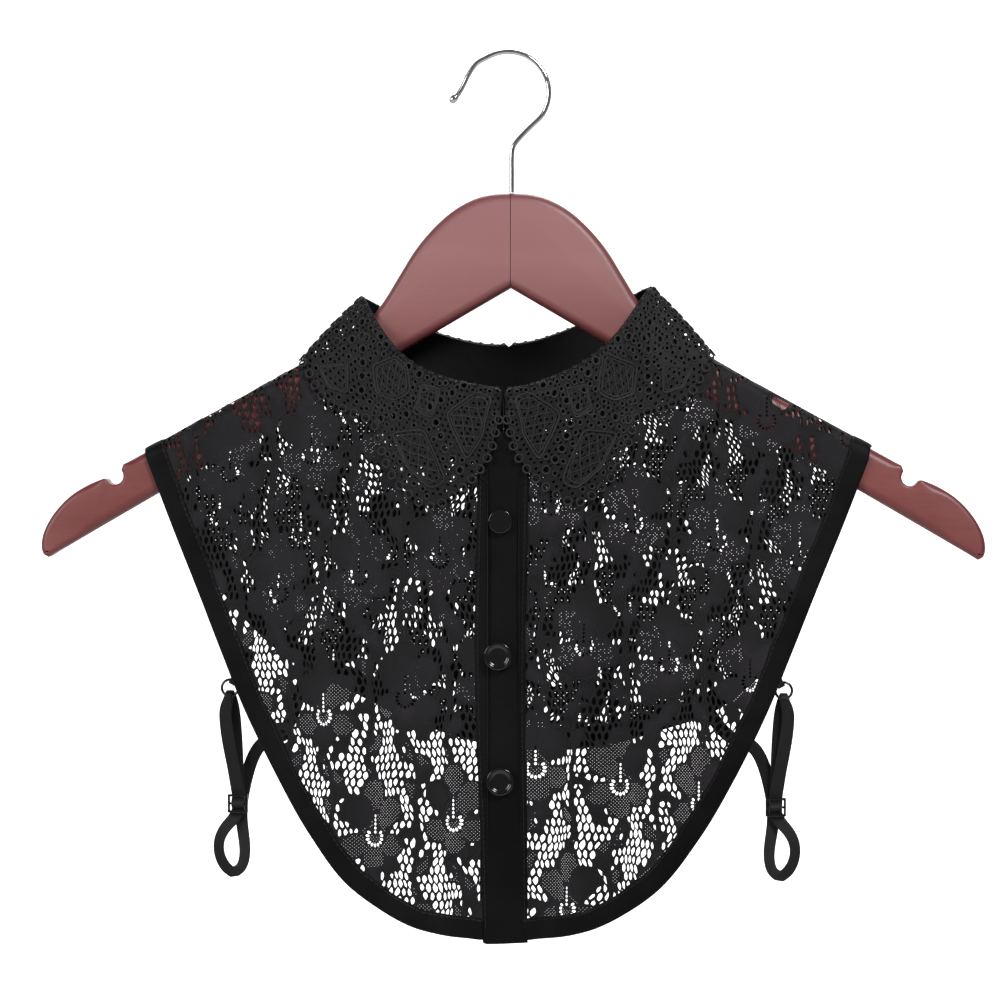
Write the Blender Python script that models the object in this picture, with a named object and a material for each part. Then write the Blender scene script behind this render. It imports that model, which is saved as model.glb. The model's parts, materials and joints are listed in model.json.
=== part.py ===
"""Buttoned lace half front with a guipure collar, hung on a wooden hanger with a wire hook.

The frame has +X to the wearer's left, as a viewer in front sees the right, +Y away from the viewer
and +Z up. The origin is the inside top of the hook, where a rail holds the hanger.

Every cloth piece is a thin wall worked out from one hanging surface. A ray runs from the neck seam
to the outer edge. Rays 0 to 9 fan out from the centre to the shoulder, and rays 9 to 10 wrap over
the rounded top of the hanger's arm. A distance along a ray goes from 0 at the neck to 1 at the edge,
and a lift moves a point straight out of the cloth, so that what lies on a panel shares its points.
Sizes in the tables are millimetres, and scale to metres where the points are made.
"""

import math

import bmesh
import bpy
from mathutils import Vector

MM = 0.001

# Hanger
HANGER_HALF_THICKNESS = 6.0
HANGER_EDGE_ROUND = 4.5
HANGER_LIP_ROUND = 1.4
HANGER_TIP_ROUND = 2.6
HANGER_APEX_Z = -110.3
HANGER_UNDERSIDE_SLOPE = 0.58
HALF_GLUE_GAP = 0.15
NOTCH_CENTRE = (187.4, -199.0)
NOTCH_RADIUS = 4.1
NOTCH_LIP_REACH = 7.5
NOTCH_LIP_LOWEST = -206.0
TIP_FROM_X = 205.0
UNDERSIDE_X = (190.0, 150.0, 110.0, 70.0, 35.0, 12.0, HALF_GLUE_GAP)

# Hook
HOOK_WIRE_RADIUS = 1.2
HOOK_CENTRE = (-1.5, -18.1)
HOOK_BEND_RADIUS = 19.3
HOOK_TIP_RADIUS = 1.9
HOOK_SIDES = 8

# Cloth
CENTRE_X = -2.0
PANEL_WALL = 1.2
BINDING_WALL = 1.8
BINDING_WIDTH = 10.0
SEAM_GAP = 0.3
SHOULDER_HALF_GAP = 0.16
FRONT_LEAN = 3.0
BACK_LEAN = 10.0

# The cloth's clearance to the wood, less on the arm than near the neck
WOOD_CLEARANCE = 0.5
NECK_CLEARANCE = 2.4
CLEARANCE_EVEN_FROM_A = 92.0
CLEARANCE_EASE_RUN = 18.0

# The cloth's depth in front of the hanger's plane: full at the neck seam, less at the hem
FRONT_NECK_DEPTH = 21.0
BACK_NECK_DEPTH = 19.0
NECK_SPREAD_WIDTH = 54.0
DEPTH_EASE_DROP = 22.0
DEPTH_FULL_Z = -181.0
DEPTH_FALL = 110.0
HEM_DEPTH_SHARE = 0.38
HEM_FLARE = 2.2
FLARE_TOP_Z = -190.0
FLARE_RUN = 120.0
WRAP_LEAST_A = 60.0
WRAP_RAYS = 0.9
FOLLOW_WOOD_FROM_RAY = 4.0
FOLD_EASE_SHARE = 0.45

# Neckband
STAND_WALL = 1.4
STAND_SET_BACK = 0.4
STAND_LOW_GAP = 0.5
STAND_SHOULDER_GAP = 0.9
STAND_OPENING_HALF = 0.3
STAND_SHOULDER_SHARE = 0.66

# Collar
COLLAR_WALL = 1.5
COLLAR_LIFT = 1.8
COLLAR_ROLL_IN = 1.3
COLLAR_ROLL_TOP = 0.3
COLLAR_ROLL_RISE = 0.5
COLLAR_ROLL_OUT = 1.5
COLLAR_ROLL_DROP = 1.4
COLLAR_BELLY = 2.0
COLLAR_SIDE_TURN = 2.2
COLLAR_FRONT_HALF_GAP = 0.5
COLLAR_FRONT_EDGE = (1.2, -172.5)
COLLAR_FRONT_LIFT = 1.6
COLLAR_POINT_LIFT = 1.0

# Placket and buttons
PLACKET_HALF_WIDTH = 11.3
PLACKET_TOP = -181.9
PLACKET_BOTTOM = -416.6
PLACKET_LIFT = 0.2
PLACKET_WALL = 1.5
BUTTON_STAND_LIFTS = (-1.5, -0.1)
BUTTON_STAND_SHORTER = 1.6
BUTTON_RADIUS = 6.5
BUTTON_THICKNESS = 2.8
BUTTONS = (
    # name, x, z
    ("button_top", -3.3, -219.7),
    ("button_middle", -4.4, -282.4),
    ("button_bottom", -3.3, -340.8),
)

# Strap, ring, tab and slider, as distances from the garment's centre line
STRAP_WIDTH = 6.1
STRAP_THICKNESS = 1.0
RING_CENTRE = (130.7, -2.0, -299.3)
RING_RADIUS = 3.9
RING_WIRE_RADIUS = 0.65
SLIDER_CENTRE = (127.2, 0.0, -354.3)
SLIDER_SIZE = (9.6, 1.1, 8.8)
SLIDER_BAR = 1.1
TAB_WIDTH = 7.0
TAB_WIDTH_AT_RING = 3.7
TAB_THICKNESS = 0.8
TAB_RUN = (-0.47, 0.883)

# The hanger's top outline from the crest to the notch
HANGER_TOP = (
    # x, z
    (0.0, -65.5),
    (9.0, -66.1),
    (17.5, -68.4),
    (27.5, -74.0),
    (37.0, -82.5),
    (45.2, -92.4),
    (53.0, -105.0),
    (60.4, -117.0),
    (68.0, -126.4),
    (77.5, -133.9),
    (90.0, -141.6),
    (106.0, -151.0),
    (140.0, -169.7),
    (172.0, -187.2),
    (183.4, -193.5),
)

# The hanger's nose, from the notch's outer lip round to the underside
HANGER_NOSE = (
    # x, z
    (192.6, -200.2),
    (200.2, -203.2),
    (209.6, -209.4),
    (216.8, -217.3),
    (221.2, -225.3),
    (222.5, -231.8),
    (221.6, -236.0),
    (219.2, -237.6),
)

# Front rays: the collar's fold, the neck seam, the garment's outer edge and the collar's edge
FRONT_RAYS = (
    # fold a, fold y, fold z, seam a, seam z, edge a, edge z, collar a, collar z
    (11.6, 26.4, -157.4, 11.6, -180.4, 11.6, -415.2, 4.8, -190.0),
    (21.0, 25.6, -154.9, 21.0, -177.8, 43.5, -410.0, 14.5, -202.5),
    (30.0, 24.0, -151.6, 30.5, -173.6, 71.0, -393.5, 32.0, -214.2),
    (38.0, 21.6, -147.6, 39.5, -167.8, 91.5, -368.0, 45.0, -207.8),
    (45.2, 18.8, -142.6, 47.5, -161.0, 107.5, -341.0, 53.5, -197.5),
    (51.4, 15.8, -137.0, 54.5, -153.8, 122.0, -311.5, 58.5, -184.5),
    (57.0, 12.8, -130.4, 60.5, -146.8, 134.2, -281.5, 61.5, -174.8),
    (61.6, 10.0, -123.8, 65.5, -140.4, 145.8, -252.0, 74.0, -169.8),
    (65.4, 6.8, -117.8, 69.2, -135.9, 158.0, -221.8, 86.5, -163.5),
    (67.6, 3.8, -114.4, 71.5, -134.0, 170.0, -190.6, 95.5, -149.0),
    (69.0, 0.0, -112.9, 73.0, -130.4, 171.8, -187.0, 98.0, -146.0),
)

# Back rays, from the centre back to the shoulder, with the same columns
BACK_RAYS = (
    # fold a, fold y, fold z, seam a, seam z, edge a, edge z, collar a, collar z
    (0.0, 25.0, -136.8, 0.0, -160.6, 0.0, -330.0, 0.0, -176.0),
    (11.0, 24.7, -135.8, 12.0, -160.0, 26.0, -326.4, 13.0, -186.5),
    (22.0, 23.7, -133.2, 24.0, -158.2, 51.5, -319.8, 26.0, -192.8),
    (33.0, 21.7, -129.6, 35.5, -155.0, 75.5, -310.0, 40.0, -191.2),
    (43.0, 18.9, -125.4, 45.5, -150.8, 99.0, -300.0, 51.0, -183.0),
    (51.5, 15.5, -121.2, 54.0, -146.2, 119.5, -283.2, 58.5, -173.5),
    (58.0, 12.2, -117.8, 60.5, -142.2, 136.0, -263.0, 70.0, -171.5),
    (62.8, 9.0, -115.3, 65.6, -138.8, 148.5, -240.5, 81.0, -167.5),
    (66.2, 5.9, -113.7, 69.2, -135.9, 159.5, -216.5, 90.0, -160.0),
    (68.0, 3.2, -113.1, 71.5, -134.0, 170.0, -190.6, 95.5, -149.0),
    (69.0, 0.0, -112.9, 73.0, -130.4, 171.8, -187.0, 98.0, -146.0),
)
LAST_FAN = 9

# Soft folds: a ridge is positive and a trough negative, on one side of one panel
FOLDS = (
    # face, side, top a, top z, bottom a, bottom z, height, half width
    ("front", 1, 34.0, -238.0, 27.0, -414.0, 3.2, 9.0),
    ("front", 1, 62.0, -226.0, 58.0, -402.0, -2.6, 10.0),
    ("front", 1, 84.0, -232.0, 88.0, -372.0, 2.4, 12.0),
    ("front", 1, 112.0, -222.0, 116.0, -326.0, -1.8, 11.0),
    ("front", -1, 30.0, -246.0, 24.0, -414.0, 2.8, 8.0),
    ("front", -1, 52.0, -230.0, 60.0, -400.0, -2.4, 11.0),
    ("front", -1, 92.0, -226.0, 84.0, -378.0, 3.0, 13.0),
    ("front", -1, 120.0, -232.0, 112.0, -334.0, -2.0, 9.0),
    ("back", 1, 40.0, -214.0, 46.0, -322.0, 2.6, 13.0),
    ("back", 1, 96.0, -206.0, 84.0, -306.0, -2.0, 12.0),
    ("back", -1, 32.0, -220.0, 28.0, -324.0, -2.2, 12.0),
    ("back", -1, 78.0, -210.0, 86.0, -304.0, 2.4, 14.0),
)

# The strap's way, from its end behind the slider's bar, over the ring, down through the slider,
# round the loop below it, and up behind to the back binding
STRAP_WAY = (
    # a, y, z, facing, width share
    (127.3, 1.8, -354.6, 1, 1.0),
    (127.4, 3.2, -350.8, 1, 1.0),
    (127.6, 3.0, -346.0, 1, 1.0),
    (127.8, 1.9, -336.0, 1, 1.0),
    (128.2, 0.9, -324.0, 1, 1.0),
    (129.0, 0.1, -311.0, 1, 0.95),
    (129.8, -0.4, -305.0, 1, 0.8),
    (130.3, -0.4, -302.6, 0, 0.66),
    (130.7, -2.0, -300.8, 0, 0.6),
    (131.1, -3.6, -302.6, 0, 0.66),
    (131.5, -3.6, -305.0, -1, 0.8),
    (133.0, -3.3, -311.0, -1, 0.95),
    (131.6, -2.2, -324.0, -1, 1.0),
    (129.4, -0.6, -336.0, -1, 1.0),
    (127.9, 1.1, -346.0, -1, 1.0),
    (127.3, 1.75, -350.4, -1, 1.0),
    (127.2, 0.0, -352.4, -1, 1.0),
    (127.2, -1.75, -354.3, -1, 1.0),
    (127.2, 0.2, -356.0, -1, 1.0),
    (127.4, 2.1, -358.0, -1, 1.0),
    (129.6, 1.9, -361.8, -1, 0.95),
    (133.2, 0.7, -365.8, -1, 0.9),
    (135.8, 0.0, -370.8, -1, 0.85),
    (136.3, 0.0, -376.6, -1, 0.82),
    (134.4, 0.4, -382.6, -1, 0.85),
    (130.2, 1.0, -386.9, -1, 0.88),
    (125.8, 1.8, -384.8, -1, 0.85),
    (124.2, 2.6, -379.0, -1, 0.85),
    (124.6, 3.6, -372.0, -1, 0.9),
    (126.0, 4.8, -363.0, -1, 0.95),
    (126.0, 5.2, -354.0, -1, 1.0),
    (124.4, 5.2, -345.0, -1, 1.0),
    (121.6, 5.0, -335.0, -1, 1.0),
    (117.6, 5.0, -327.4, -1, 1.0),
    (112.0, 5.0, -323.6, -1, 1.0),
)
STRAP_BACK_END_A = 92.5
STRAP_BACK_INSET = 7.0


def clear_scene():
    """Remove whatever objects the scene holds."""
    for thing in list(bpy.data.objects):
        bpy.data.objects.remove(thing, do_unlink=True)


def make_material(name, colour, roughness, metallic=0.0):
    """A Principled material of one colour."""
    material = bpy.data.materials.new(name)
    material.use_nodes = True
    shader = material.node_tree.nodes["Principled BSDF"]
    shader.inputs["Base Color"].default_value = (*colour, 1.0)
    shader.inputs["Roughness"].default_value = roughness
    shader.inputs["Metallic"].default_value = metallic
    return material


def through(values, position):
    """A smooth curve through a list of values, read at a fractional place in the list."""
    last = len(values) - 1
    index = min(max(int(math.floor(position)), 0), last - 1)
    part = position - index
    before = values[max(index - 1, 0)]
    start = values[index]
    end = values[index + 1]
    after = values[min(index + 2, last)]
    leave = (end - before) / 2 if index > 0 else end - start
    arrive = (after - start) / 2 if index + 2 <= last else end - start
    square = part * part
    cube = square * part
    return (
        (2 * cube - 3 * square + 1) * start
        + (cube - 2 * square + part) * leave
        + (3 * square - 2 * cube) * end
        + (cube - square) * arrive
    )


def wood_under(side, a):
    """Height of the hanger's top outline under a place of the cloth."""
    return top_of_wood(abs(CENTRE_X + side * a))


def top_of_wood(a):
    """Height of the hanger's top outline at a distance from the hanger's centre, in millimetres."""
    for (x0, z0), (x1, z1) in zip(HANGER_TOP, HANGER_TOP[1:]):
        if a <= x1:
            break
    index = HANGER_TOP.index((x0, z0))
    before = HANGER_TOP[max(index - 1, 0)]
    after = HANGER_TOP[min(index + 2, len(HANGER_TOP) - 1)]
    leave = (z1 - before[1]) / (x1 - before[0])
    arrive = (after[1] - z0) / (after[0] - x0)
    span = x1 - x0
    part = (a - x0) / span
    square = part * part
    cube = square * part
    return (
        (2 * cube - 3 * square + 1) * z0
        + (cube - 2 * square + part) * span * leave
        + (3 * square - 2 * cube) * z1
        + (cube - square) * span * arrive
    )


def ease(value):
    """A smooth step from 0 to 1."""
    value = min(max(value, 0.0), 1.0)
    return value * value * (3 - 2 * value)


def clearance(a):
    """How far the cloth's inner face stands off the wood."""
    nearness = ease((CLEARANCE_EVEN_FROM_A - a) / CLEARANCE_EASE_RUN)
    return WOOD_CLEARANCE + (NECK_CLEARANCE - WOOD_CLEARANCE) * nearness


def fold_height(face, side, a, z):
    """Height of the soft folds at one place of a panel."""
    total = 0.0
    for name, fold_side, top_a, top_z, low_a, low_z, height, half_width in FOLDS:
        if name != face or fold_side != side:
            continue
        along = (top_z - z) / (top_z - low_z)
        centre = top_a + (low_a - top_a) * along
        off = (a - centre) / half_width
        total += height * ease(along / FOLD_EASE_SHARE) * math.exp(-off * off)
    return total


def spread(face, side, a, z):
    """How far the hanging cloth stands out from the hanger's plane, past the wrap."""
    depth = FRONT_NECK_DEPTH if face == "front" else BACK_NECK_DEPTH
    below = ease((wood_under(side, a) - z) / DEPTH_EASE_DROP)
    left = math.exp(min((z - DEPTH_FULL_Z) / DEPTH_FALL, 0.0))
    fall = HEM_DEPTH_SHARE + (1.0 - HEM_DEPTH_SHARE) * left
    across = math.exp(-((a / NECK_SPREAD_WIDTH) ** 2))
    flare = HEM_FLARE * ease((FLARE_TOP_Z - z) / FLARE_RUN)
    return below * (depth * fall * across + flare) + fold_height(face, side, a, z)


def hanging_y(face, side, a, z, lift):
    """Distance of the cloth from the hanger's plane at a place of the front view."""
    corner = HANGER_EDGE_ROUND + clearance(a) + lift
    flat = HANGER_HALF_THICKNESS - HANGER_EDGE_ROUND
    rise = z - wood_under(side, a) + HANGER_EDGE_ROUND
    if rise <= 0 or a < WRAP_LEAST_A:
        return flat + corner + spread(face, side, a, z)
    if rise >= corner:
        return 0.0
    return flat + math.sqrt(corner * corner - rise * rise)


def column(rays, ray, index):
    """One column of a ray table, read smoothly at a ray."""
    return through([row[index] for row in rays], ray)


def lean(face, side, ray):
    """The garment hangs a little askew: how far one side is raised or lowered."""
    amount = FRONT_LEAN * side if face == "front" else -BACK_LEAN * side
    return amount * math.sin(math.pi * min(ray, LAST_FAN) / LAST_FAN)


def cloth_point(face, side, ray, along, lift):
    """A point of the hanging cloth: a ray, a distance along it and a lift, in millimetres."""
    rays = FRONT_RAYS if face == "front" else BACK_RAYS
    sign = -1.0 if face == "front" else 1.0
    seam_a = column(rays, ray, 3)
    edge_a = column(rays, ray, 5)
    a = seam_a + (edge_a - seam_a) * along
    if ray > LAST_FAN:
        turn = min((ray - LAST_FAN) / WRAP_RAYS, 1.0) * math.pi / 2
        corner = HANGER_EDGE_ROUND + clearance(a) + lift
        flat = HANGER_HALF_THICKNESS - HANGER_EDGE_ROUND
        z = wood_under(side, a) - HANGER_EDGE_ROUND + corner * math.sin(turn)
        y = flat + corner * math.cos(turn)
        if ray >= LAST_FAN + 1:
            y = SHOULDER_HALF_GAP
        return Vector((CENTRE_X + side * a, sign * y, z))
    seam_z = column(rays, ray, 4)
    edge_z = column(rays, ray, 6)
    if face == "front":
        seam_z += lean(face, side, ray)
    else:
        edge_z += lean(face, side, ray)
    straight = seam_z + (edge_z - seam_z) * along
    seam_drop = wood_under(side, seam_a) - seam_z
    edge_drop = wood_under(side, edge_a) - edge_z
    follow = wood_under(side, a) - (seam_drop + (edge_drop - seam_drop) * along)
    if ray == LAST_FAN:
        follow = wood_under(side, a) - HANGER_EDGE_ROUND
    weight = ease((ray - FOLLOW_WOOD_FROM_RAY) / (LAST_FAN - FOLLOW_WOOD_FROM_RAY))
    z = straight + (follow - straight) * weight
    return Vector((CENTRE_X + side * a, sign * hanging_y(face, side, a, z, lift), z))


def binding_start(face, side, ray):
    """Where along a ray the binding begins, one binding width inside the outer edge."""
    ray = min(ray, LAST_FAN - 0.1)
    edge = cloth_point(face, side, ray, 1.0, 0.0)
    inner = cloth_point(face, side, ray, 0.9, 0.0)
    beside = cloth_point(face, side, max(ray - 0.05, 0.0), 1.0, 0.0)
    if ray < 0.05:
        beside = cloth_point(face, side, ray + 0.05, 1.0, 0.0)
    direction = (inner - edge).normalized()
    tangent = (beside - edge).normalized()
    square_to_edge = direction.cross(tangent).length
    length = (edge - inner).length / 0.1
    return 1.0 - BINDING_WIDTH / (length * max(square_to_edge, 0.5))


def add_solid(name, vertices, faces, material, smooth=True):
    """Make an object from points in millimetres, with its faces turned outwards."""
    mesh = bpy.data.meshes.new(name)
    mesh.from_pydata([tuple(Vector(v) * MM) for v in vertices], [], faces)
    work = bmesh.new()
    work.from_mesh(mesh)
    bmesh.ops.triangulate(work, faces=[f for f in work.faces if len(f.verts) > 3])
    if work.calc_volume(signed=True) < 0:
        bmesh.ops.reverse_faces(work, faces=work.faces)
    work.to_mesh(mesh)
    work.free()
    mesh.materials.append(material)
    if smooth:
        mesh.shade_smooth()
        mesh.set_sharp_from_angle(angle=math.radians(40))
    solid = bpy.data.objects.new(name, mesh)
    bpy.context.scene.collection.objects.link(solid)
    return solid


def wall(name, inner, outer, material):
    """A closed wall between two grids of points that have the same rows and columns."""
    rows = len(inner)
    columns = len(inner[0])
    count = rows * columns
    vertices = [p for row in inner for p in row] + [p for row in outer for p in row]
    faces = []
    for i in range(rows - 1):
        for j in range(columns - 1):
            a, b = i * columns + j, i * columns + j + 1
            c, d = b + columns, a + columns
            faces.append((a, b, c, d))
            faces.append((a + count, d + count, c + count, b + count))
    rim = list(range(columns))
    rim += [i * columns + columns - 1 for i in range(1, rows)]
    rim += [(rows - 1) * columns + j for j in range(columns - 2, -1, -1)]
    rim += [i * columns for i in range(rows - 2, 0, -1)]
    for start, end in zip(rim, rim[1:] + rim[:1]):
        faces.append((end, start, start + count, end + count))
    return add_solid(name, vertices, faces, material)


def grid_normals(grid):
    """A unit normal at each point of a grid."""
    rows = len(grid)
    columns = len(grid[0])
    normals = []
    for i in range(rows):
        line = []
        for j in range(columns):
            down = grid[min(i + 1, rows - 1)][j] - grid[max(i - 1, 0)][j]
            across = grid[i][min(j + 1, columns - 1)] - grid[i][max(j - 1, 0)]
            line.append(down.cross(across).normalized())
        normals.append(line)
    return normals


def moved(grid, normals, distance):
    """A grid moved along its normals."""
    return [
        [point + normal * distance for point, normal in zip(row, normal_row)]
        for row, normal_row in zip(grid, normals)
    ]


def steps(start, end, count):
    """Evenly spaced values from start to end, both included."""
    return [start + (end - start) * k / count for k in range(count + 1)]


FAN = steps(0.0, LAST_FAN, 15)
WRAP = [LAST_FAN + WRAP_RAYS * part for part in (0.28, 0.56, 0.8, 1.0)] + [LAST_FAN + 1.0]
RAYS = FAN + WRAP


def panel_half(face, side, low, high):
    """The grid of one half panel, its inner and outer faces at two lifts."""
    grid = []
    for ray in RAYS:
        stop = binding_start(face, side, ray)
        length = (cloth_point(face, side, ray, 1, 0) - cloth_point(face, side, ray, 0, 0)).length
        stop -= SEAM_GAP / length
        grid.append([(ray, along) for along in steps(0.0, stop, 10)])
    inner = [[cloth_point(face, side, r, t, low) for r, t in row] for row in grid]
    outer = [[cloth_point(face, side, r, t, high) for r, t in row] for row in grid]
    return inner, outer


def front_panel(side, material):
    """The lace front, from the placket's edge to the shoulder."""
    inner, outer = panel_half("front", side, 0.0, PANEL_WALL)
    return wall("front_right" if side > 0 else "front_left", inner, outer, material)


def joined_halves(left, right):
    """Two half grids that share their centre row, as one grid."""
    return left[::-1] + right[1:]


def back_panel(material):
    """The lace back, cut in one piece on the fold."""
    left_inner, left_outer = panel_half("back", -1, 0.0, PANEL_WALL)
    right_inner, right_outer = panel_half("back", 1, 0.0, PANEL_WALL)
    inner = joined_halves(left_inner, right_inner)
    outer = joined_halves(left_outer, right_outer)
    return wall("back", inner, outer, material)


def binding_half(face, side):
    """The grid of the binding along one half panel's outer edge."""
    inner, outer = [], []
    for ray in RAYS:
        start = binding_start(face, side, ray)
        places = steps(start, 1.0, 2)
        inner.append([cloth_point(face, side, ray, t, 0.0) for t in places])
        outer.append([cloth_point(face, side, ray, t, BINDING_WALL) for t in places])
    return inner, outer


def front_binding(side, material):
    """The satin binding from the hem at the placket to the shoulder."""
    inner, outer = binding_half("front", side)
    name = "front_binding_right" if side > 0 else "front_binding_left"
    return wall(name, inner, outer, material)


def back_binding(material):
    """The satin binding round the back's hem and armholes."""
    left_inner, left_outer = binding_half("back", -1)
    right_inner, right_outer = binding_half("back", 1)
    inner = joined_halves(left_inner, right_inner)
    outer = joined_halves(left_outer, right_outer)
    return wall("back_binding", inner, outer, material)


def ring_stations():
    """Stations round the neck, from the centre front on the right to the centre front on the left."""
    front = [9.9, 9.45] + [9.0 - k for k in range(10)] + [-1.0]
    back = [9.9, 9.45] + [9.0 - k for k in range(10)]
    right_front = [("front", 1, ray) for ray in reversed(front)]
    right_back = [("back", 1, ray) for ray in back]
    left_back = [("back", -1, ray) for ray in reversed(back)][1:]
    left_front = [("front", -1, ray) for ray in front]
    shoulder_right = [("front", 1, 10.0)]
    shoulder_left = [("front", -1, 10.0)]
    return right_front + shoulder_right + right_back + left_back + shoulder_left + left_front


def fold_point(face, side, ray):
    """The top of the neckband's outer face, where the collar folds over."""
    rays = FRONT_RAYS if face == "front" else BACK_RAYS
    sign = -1.0 if face == "front" else 1.0
    if ray < 0:
        first = fold_point(face, side, 0.0)
        return Vector((CENTRE_X + side * STAND_OPENING_HALF, first.y - 0.5, first.z - 1.6))
    tilt = FRONT_LEAN * side * math.sin(math.pi * ray / 13.0)
    a, y, z = (column(rays, min(ray, LAST_FAN), k) for k in range(3))
    if ray > LAST_FAN:
        part = min((ray - LAST_FAN) / WRAP_RAYS, 1.0) * STAND_SHOULDER_SHARE
        if ray >= LAST_FAN + 1:
            part = 1.0
        a += (rays[-1][0] - a) * part
        y += (rays[-1][1] - y) * part
        z += (rays[-1][2] - z) * part
    return Vector((CENTRE_X + side * a, sign * y, z + tilt))


def seam_point(face, side, ray):
    """The neck seam under the neckband's outer face."""
    if ray < 0:
        first = seam_point(face, side, 0.0)
        return Vector((CENTRE_X + side * STAND_OPENING_HALF, first.y - 0.7, first.z - 0.6))
    point = cloth_point(face, side, ray, 0.0, 0.0)
    if ray >= LAST_FAN + 1:
        point.y = 0.0
    return point


def neckband(material):
    """The satin stand of the collar, one strip round the neck that meets at the centre front."""
    outer = []
    for face, side, ray in ring_stations():
        fold = fold_point(face, side, ray)
        seam = seam_point(face, side, ray)
        upward = (fold - seam).normalized()
        raised = STAND_LOW_GAP + STAND_SHOULDER_GAP * ease((ray - 7.5) / 1.5)
        seam = seam + upward * raised
        outer.append([seam + (fold - seam) * v for v in steps(0.0, 1.0, 3)])
    normals = grid_normals(outer)
    middle = sum((p for row in outer for p in row), Vector()) / (len(outer) * 4)
    if normals[4][1].dot(outer[4][1] - middle) < 0:
        normals = [[-n for n in row] for row in normals]
    outer = moved(outer, normals, -STAND_SET_BACK)
    inner = moved(outer, normals, -STAND_WALL)
    return wall("neckband", inner, outer, material)


def collar_stations():
    """Stations of one collar leaf, from the centre front over the shoulder to the centre back."""
    front = [("front", ray) for ray in [-1.0] + steps(0.0, 9.0, 16)]
    shoulder = [("front", 9.0 + 0.9 * part) for part in (0.33, 0.66, 0.9)]
    rear = [("back", 9.0 + 0.9 * part) for part in (0.9, 0.66, 0.33)]
    back = [("back", ray) for ray in reversed(steps(0.0, 9.0, 14))]
    return front + shoulder + [("front", 10.0)] + rear + back


def collar_edge(face, side, ray):
    """A point of the collar's outer edge, lying just off the panel."""
    rays = FRONT_RAYS if face == "front" else BACK_RAYS
    sign = -1.0 if face == "front" else 1.0
    if ray < 0:
        a, z = COLLAR_FRONT_EDGE
        y = hanging_y(face, side, a, z, COLLAR_LIFT) + COLLAR_FRONT_LIFT
        return Vector((CENTRE_X + side * a, -y, z))
    a = max(column(rays, ray, 7), COLLAR_FRONT_HALF_GAP)
    if ray > LAST_FAN:
        turn = min((ray - LAST_FAN) / WRAP_RAYS, 1.0) * math.pi / 2
        corner = HANGER_EDGE_ROUND + clearance(a) + COLLAR_LIFT
        z = wood_under(side, a) - HANGER_EDGE_ROUND + corner * math.sin(turn)
        y = HANGER_HALF_THICKNESS - HANGER_EDGE_ROUND + corner * math.cos(turn)
        if ray >= LAST_FAN + 1:
            y = 0.0
        return Vector((CENTRE_X + side * a, sign * y, z))
    z = column(rays, ray, 8)
    if ray == LAST_FAN:
        z = wood_under(side, a) - HANGER_EDGE_ROUND
    if face == "front":
        z += 0.5 * lean(face, side, ray)
    stand_off = COLLAR_POINT_LIFT * ease((LAST_FAN - ray) / 4.0)
    y = hanging_y(face, side, a, z, COLLAR_LIFT + stand_off)
    return Vector((CENTRE_X + side * a, sign * y, z))


def collar_column(face, side, ray):
    """One line of the collar's under face, from inside the fold to the outer edge."""
    sign = -1.0 if face == "front" else 1.0
    fold = fold_point(face, side, ray)
    fold.x = CENTRE_X + side * max(side * (fold.x - CENTRE_X), COLLAR_FRONT_HALF_GAP)
    edge = collar_edge(face, side, ray)
    away = Vector((fold.x - CENTRE_X, fold.y * COLLAR_SIDE_TURN, 0.0)).normalized()
    if ray < 0:
        away = Vector((0.0, -1.0, 0.0))
    line = [
        fold - away * COLLAR_ROLL_IN + Vector((0, 0, COLLAR_ROLL_RISE)),
        fold + away * COLLAR_ROLL_TOP + Vector((0, 0, COLLAR_ROLL_RISE)),
        fold + away * COLLAR_ROLL_OUT - Vector((0, 0, COLLAR_ROLL_DROP)),
    ]
    start = line[-1]
    middle = (start + edge) / 2 + away * COLLAR_BELLY
    for v in steps(0.0, 1.0, 5)[1:]:
        point = start * (1 - v) ** 2 + middle * (2 * v * (1 - v)) + edge * v * v
        a = side * (point.x - CENTRE_X)
        least = hanging_y(face, side, a, point.z, COLLAR_LIFT)
        if v < 1 and sign * point.y < least and ray <= LAST_FAN:
            point.y = sign * least
        line.append(point)
    return line


def collar(side, material):
    """One leaf of the guipure collar."""
    under = [collar_column(face, side, ray) for face, ray in collar_stations()]
    normals = grid_normals(under)
    if normals[4][4].y > 0:
        normals = [[-n for n in row] for row in normals]
    for row in (0, -1):
        for k, normal in enumerate(normals[row]):
            normal.x = 0.0
            normals[row][k] = normal.normalized()
    outer = moved(under, normals, COLLAR_WALL)
    return wall("collar_right" if side > 0 else "collar_left", under, outer, material)


def centre_band(name, lifts, bottom, material):
    """A strip down the centre front, between two lifts of the front surface."""
    low, high = lifts
    inner, outer = [], []
    for z in steps(PLACKET_TOP, bottom, 16):
        inner_row, outer_row = [], []
        for offset in steps(-PLACKET_HALF_WIDTH, PLACKET_HALF_WIDTH, 4):
            side = 1 if offset >= 0 else -1
            for lift, row in ((low, inner_row), (high, outer_row)):
                y = hanging_y("front", side, abs(offset), z, lift)
                row.append(Vector((CENTRE_X + offset, -y, z)))
        inner.append(inner_row)
        outer.append(outer_row)
    return wall(name, inner, outer, material)


def turned(name, profile, segments, place, material):
    """A solid turned about the Y axis from a profile of radius and depth rows."""
    vertices = []
    for radius, depth in profile:
        for k in range(segments):
            turn = 2 * math.pi * k / segments
            vertices.append(place + Vector((radius * math.cos(turn), depth, radius * math.sin(turn))))
    faces = []
    for i in range(len(profile) - 1):
        for k in range(segments):
            n = (k + 1) % segments
            faces.append(
                (
                    i * segments + k,
                    i * segments + n,
                    (i + 1) * segments + n,
                    (i + 1) * segments + k,
                )
            )
    faces.append(tuple(range(segments))[::-1])
    faces.append(tuple((len(profile) - 1) * segments + k for k in range(segments)))
    return add_solid(name, vertices, faces, material)


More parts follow.
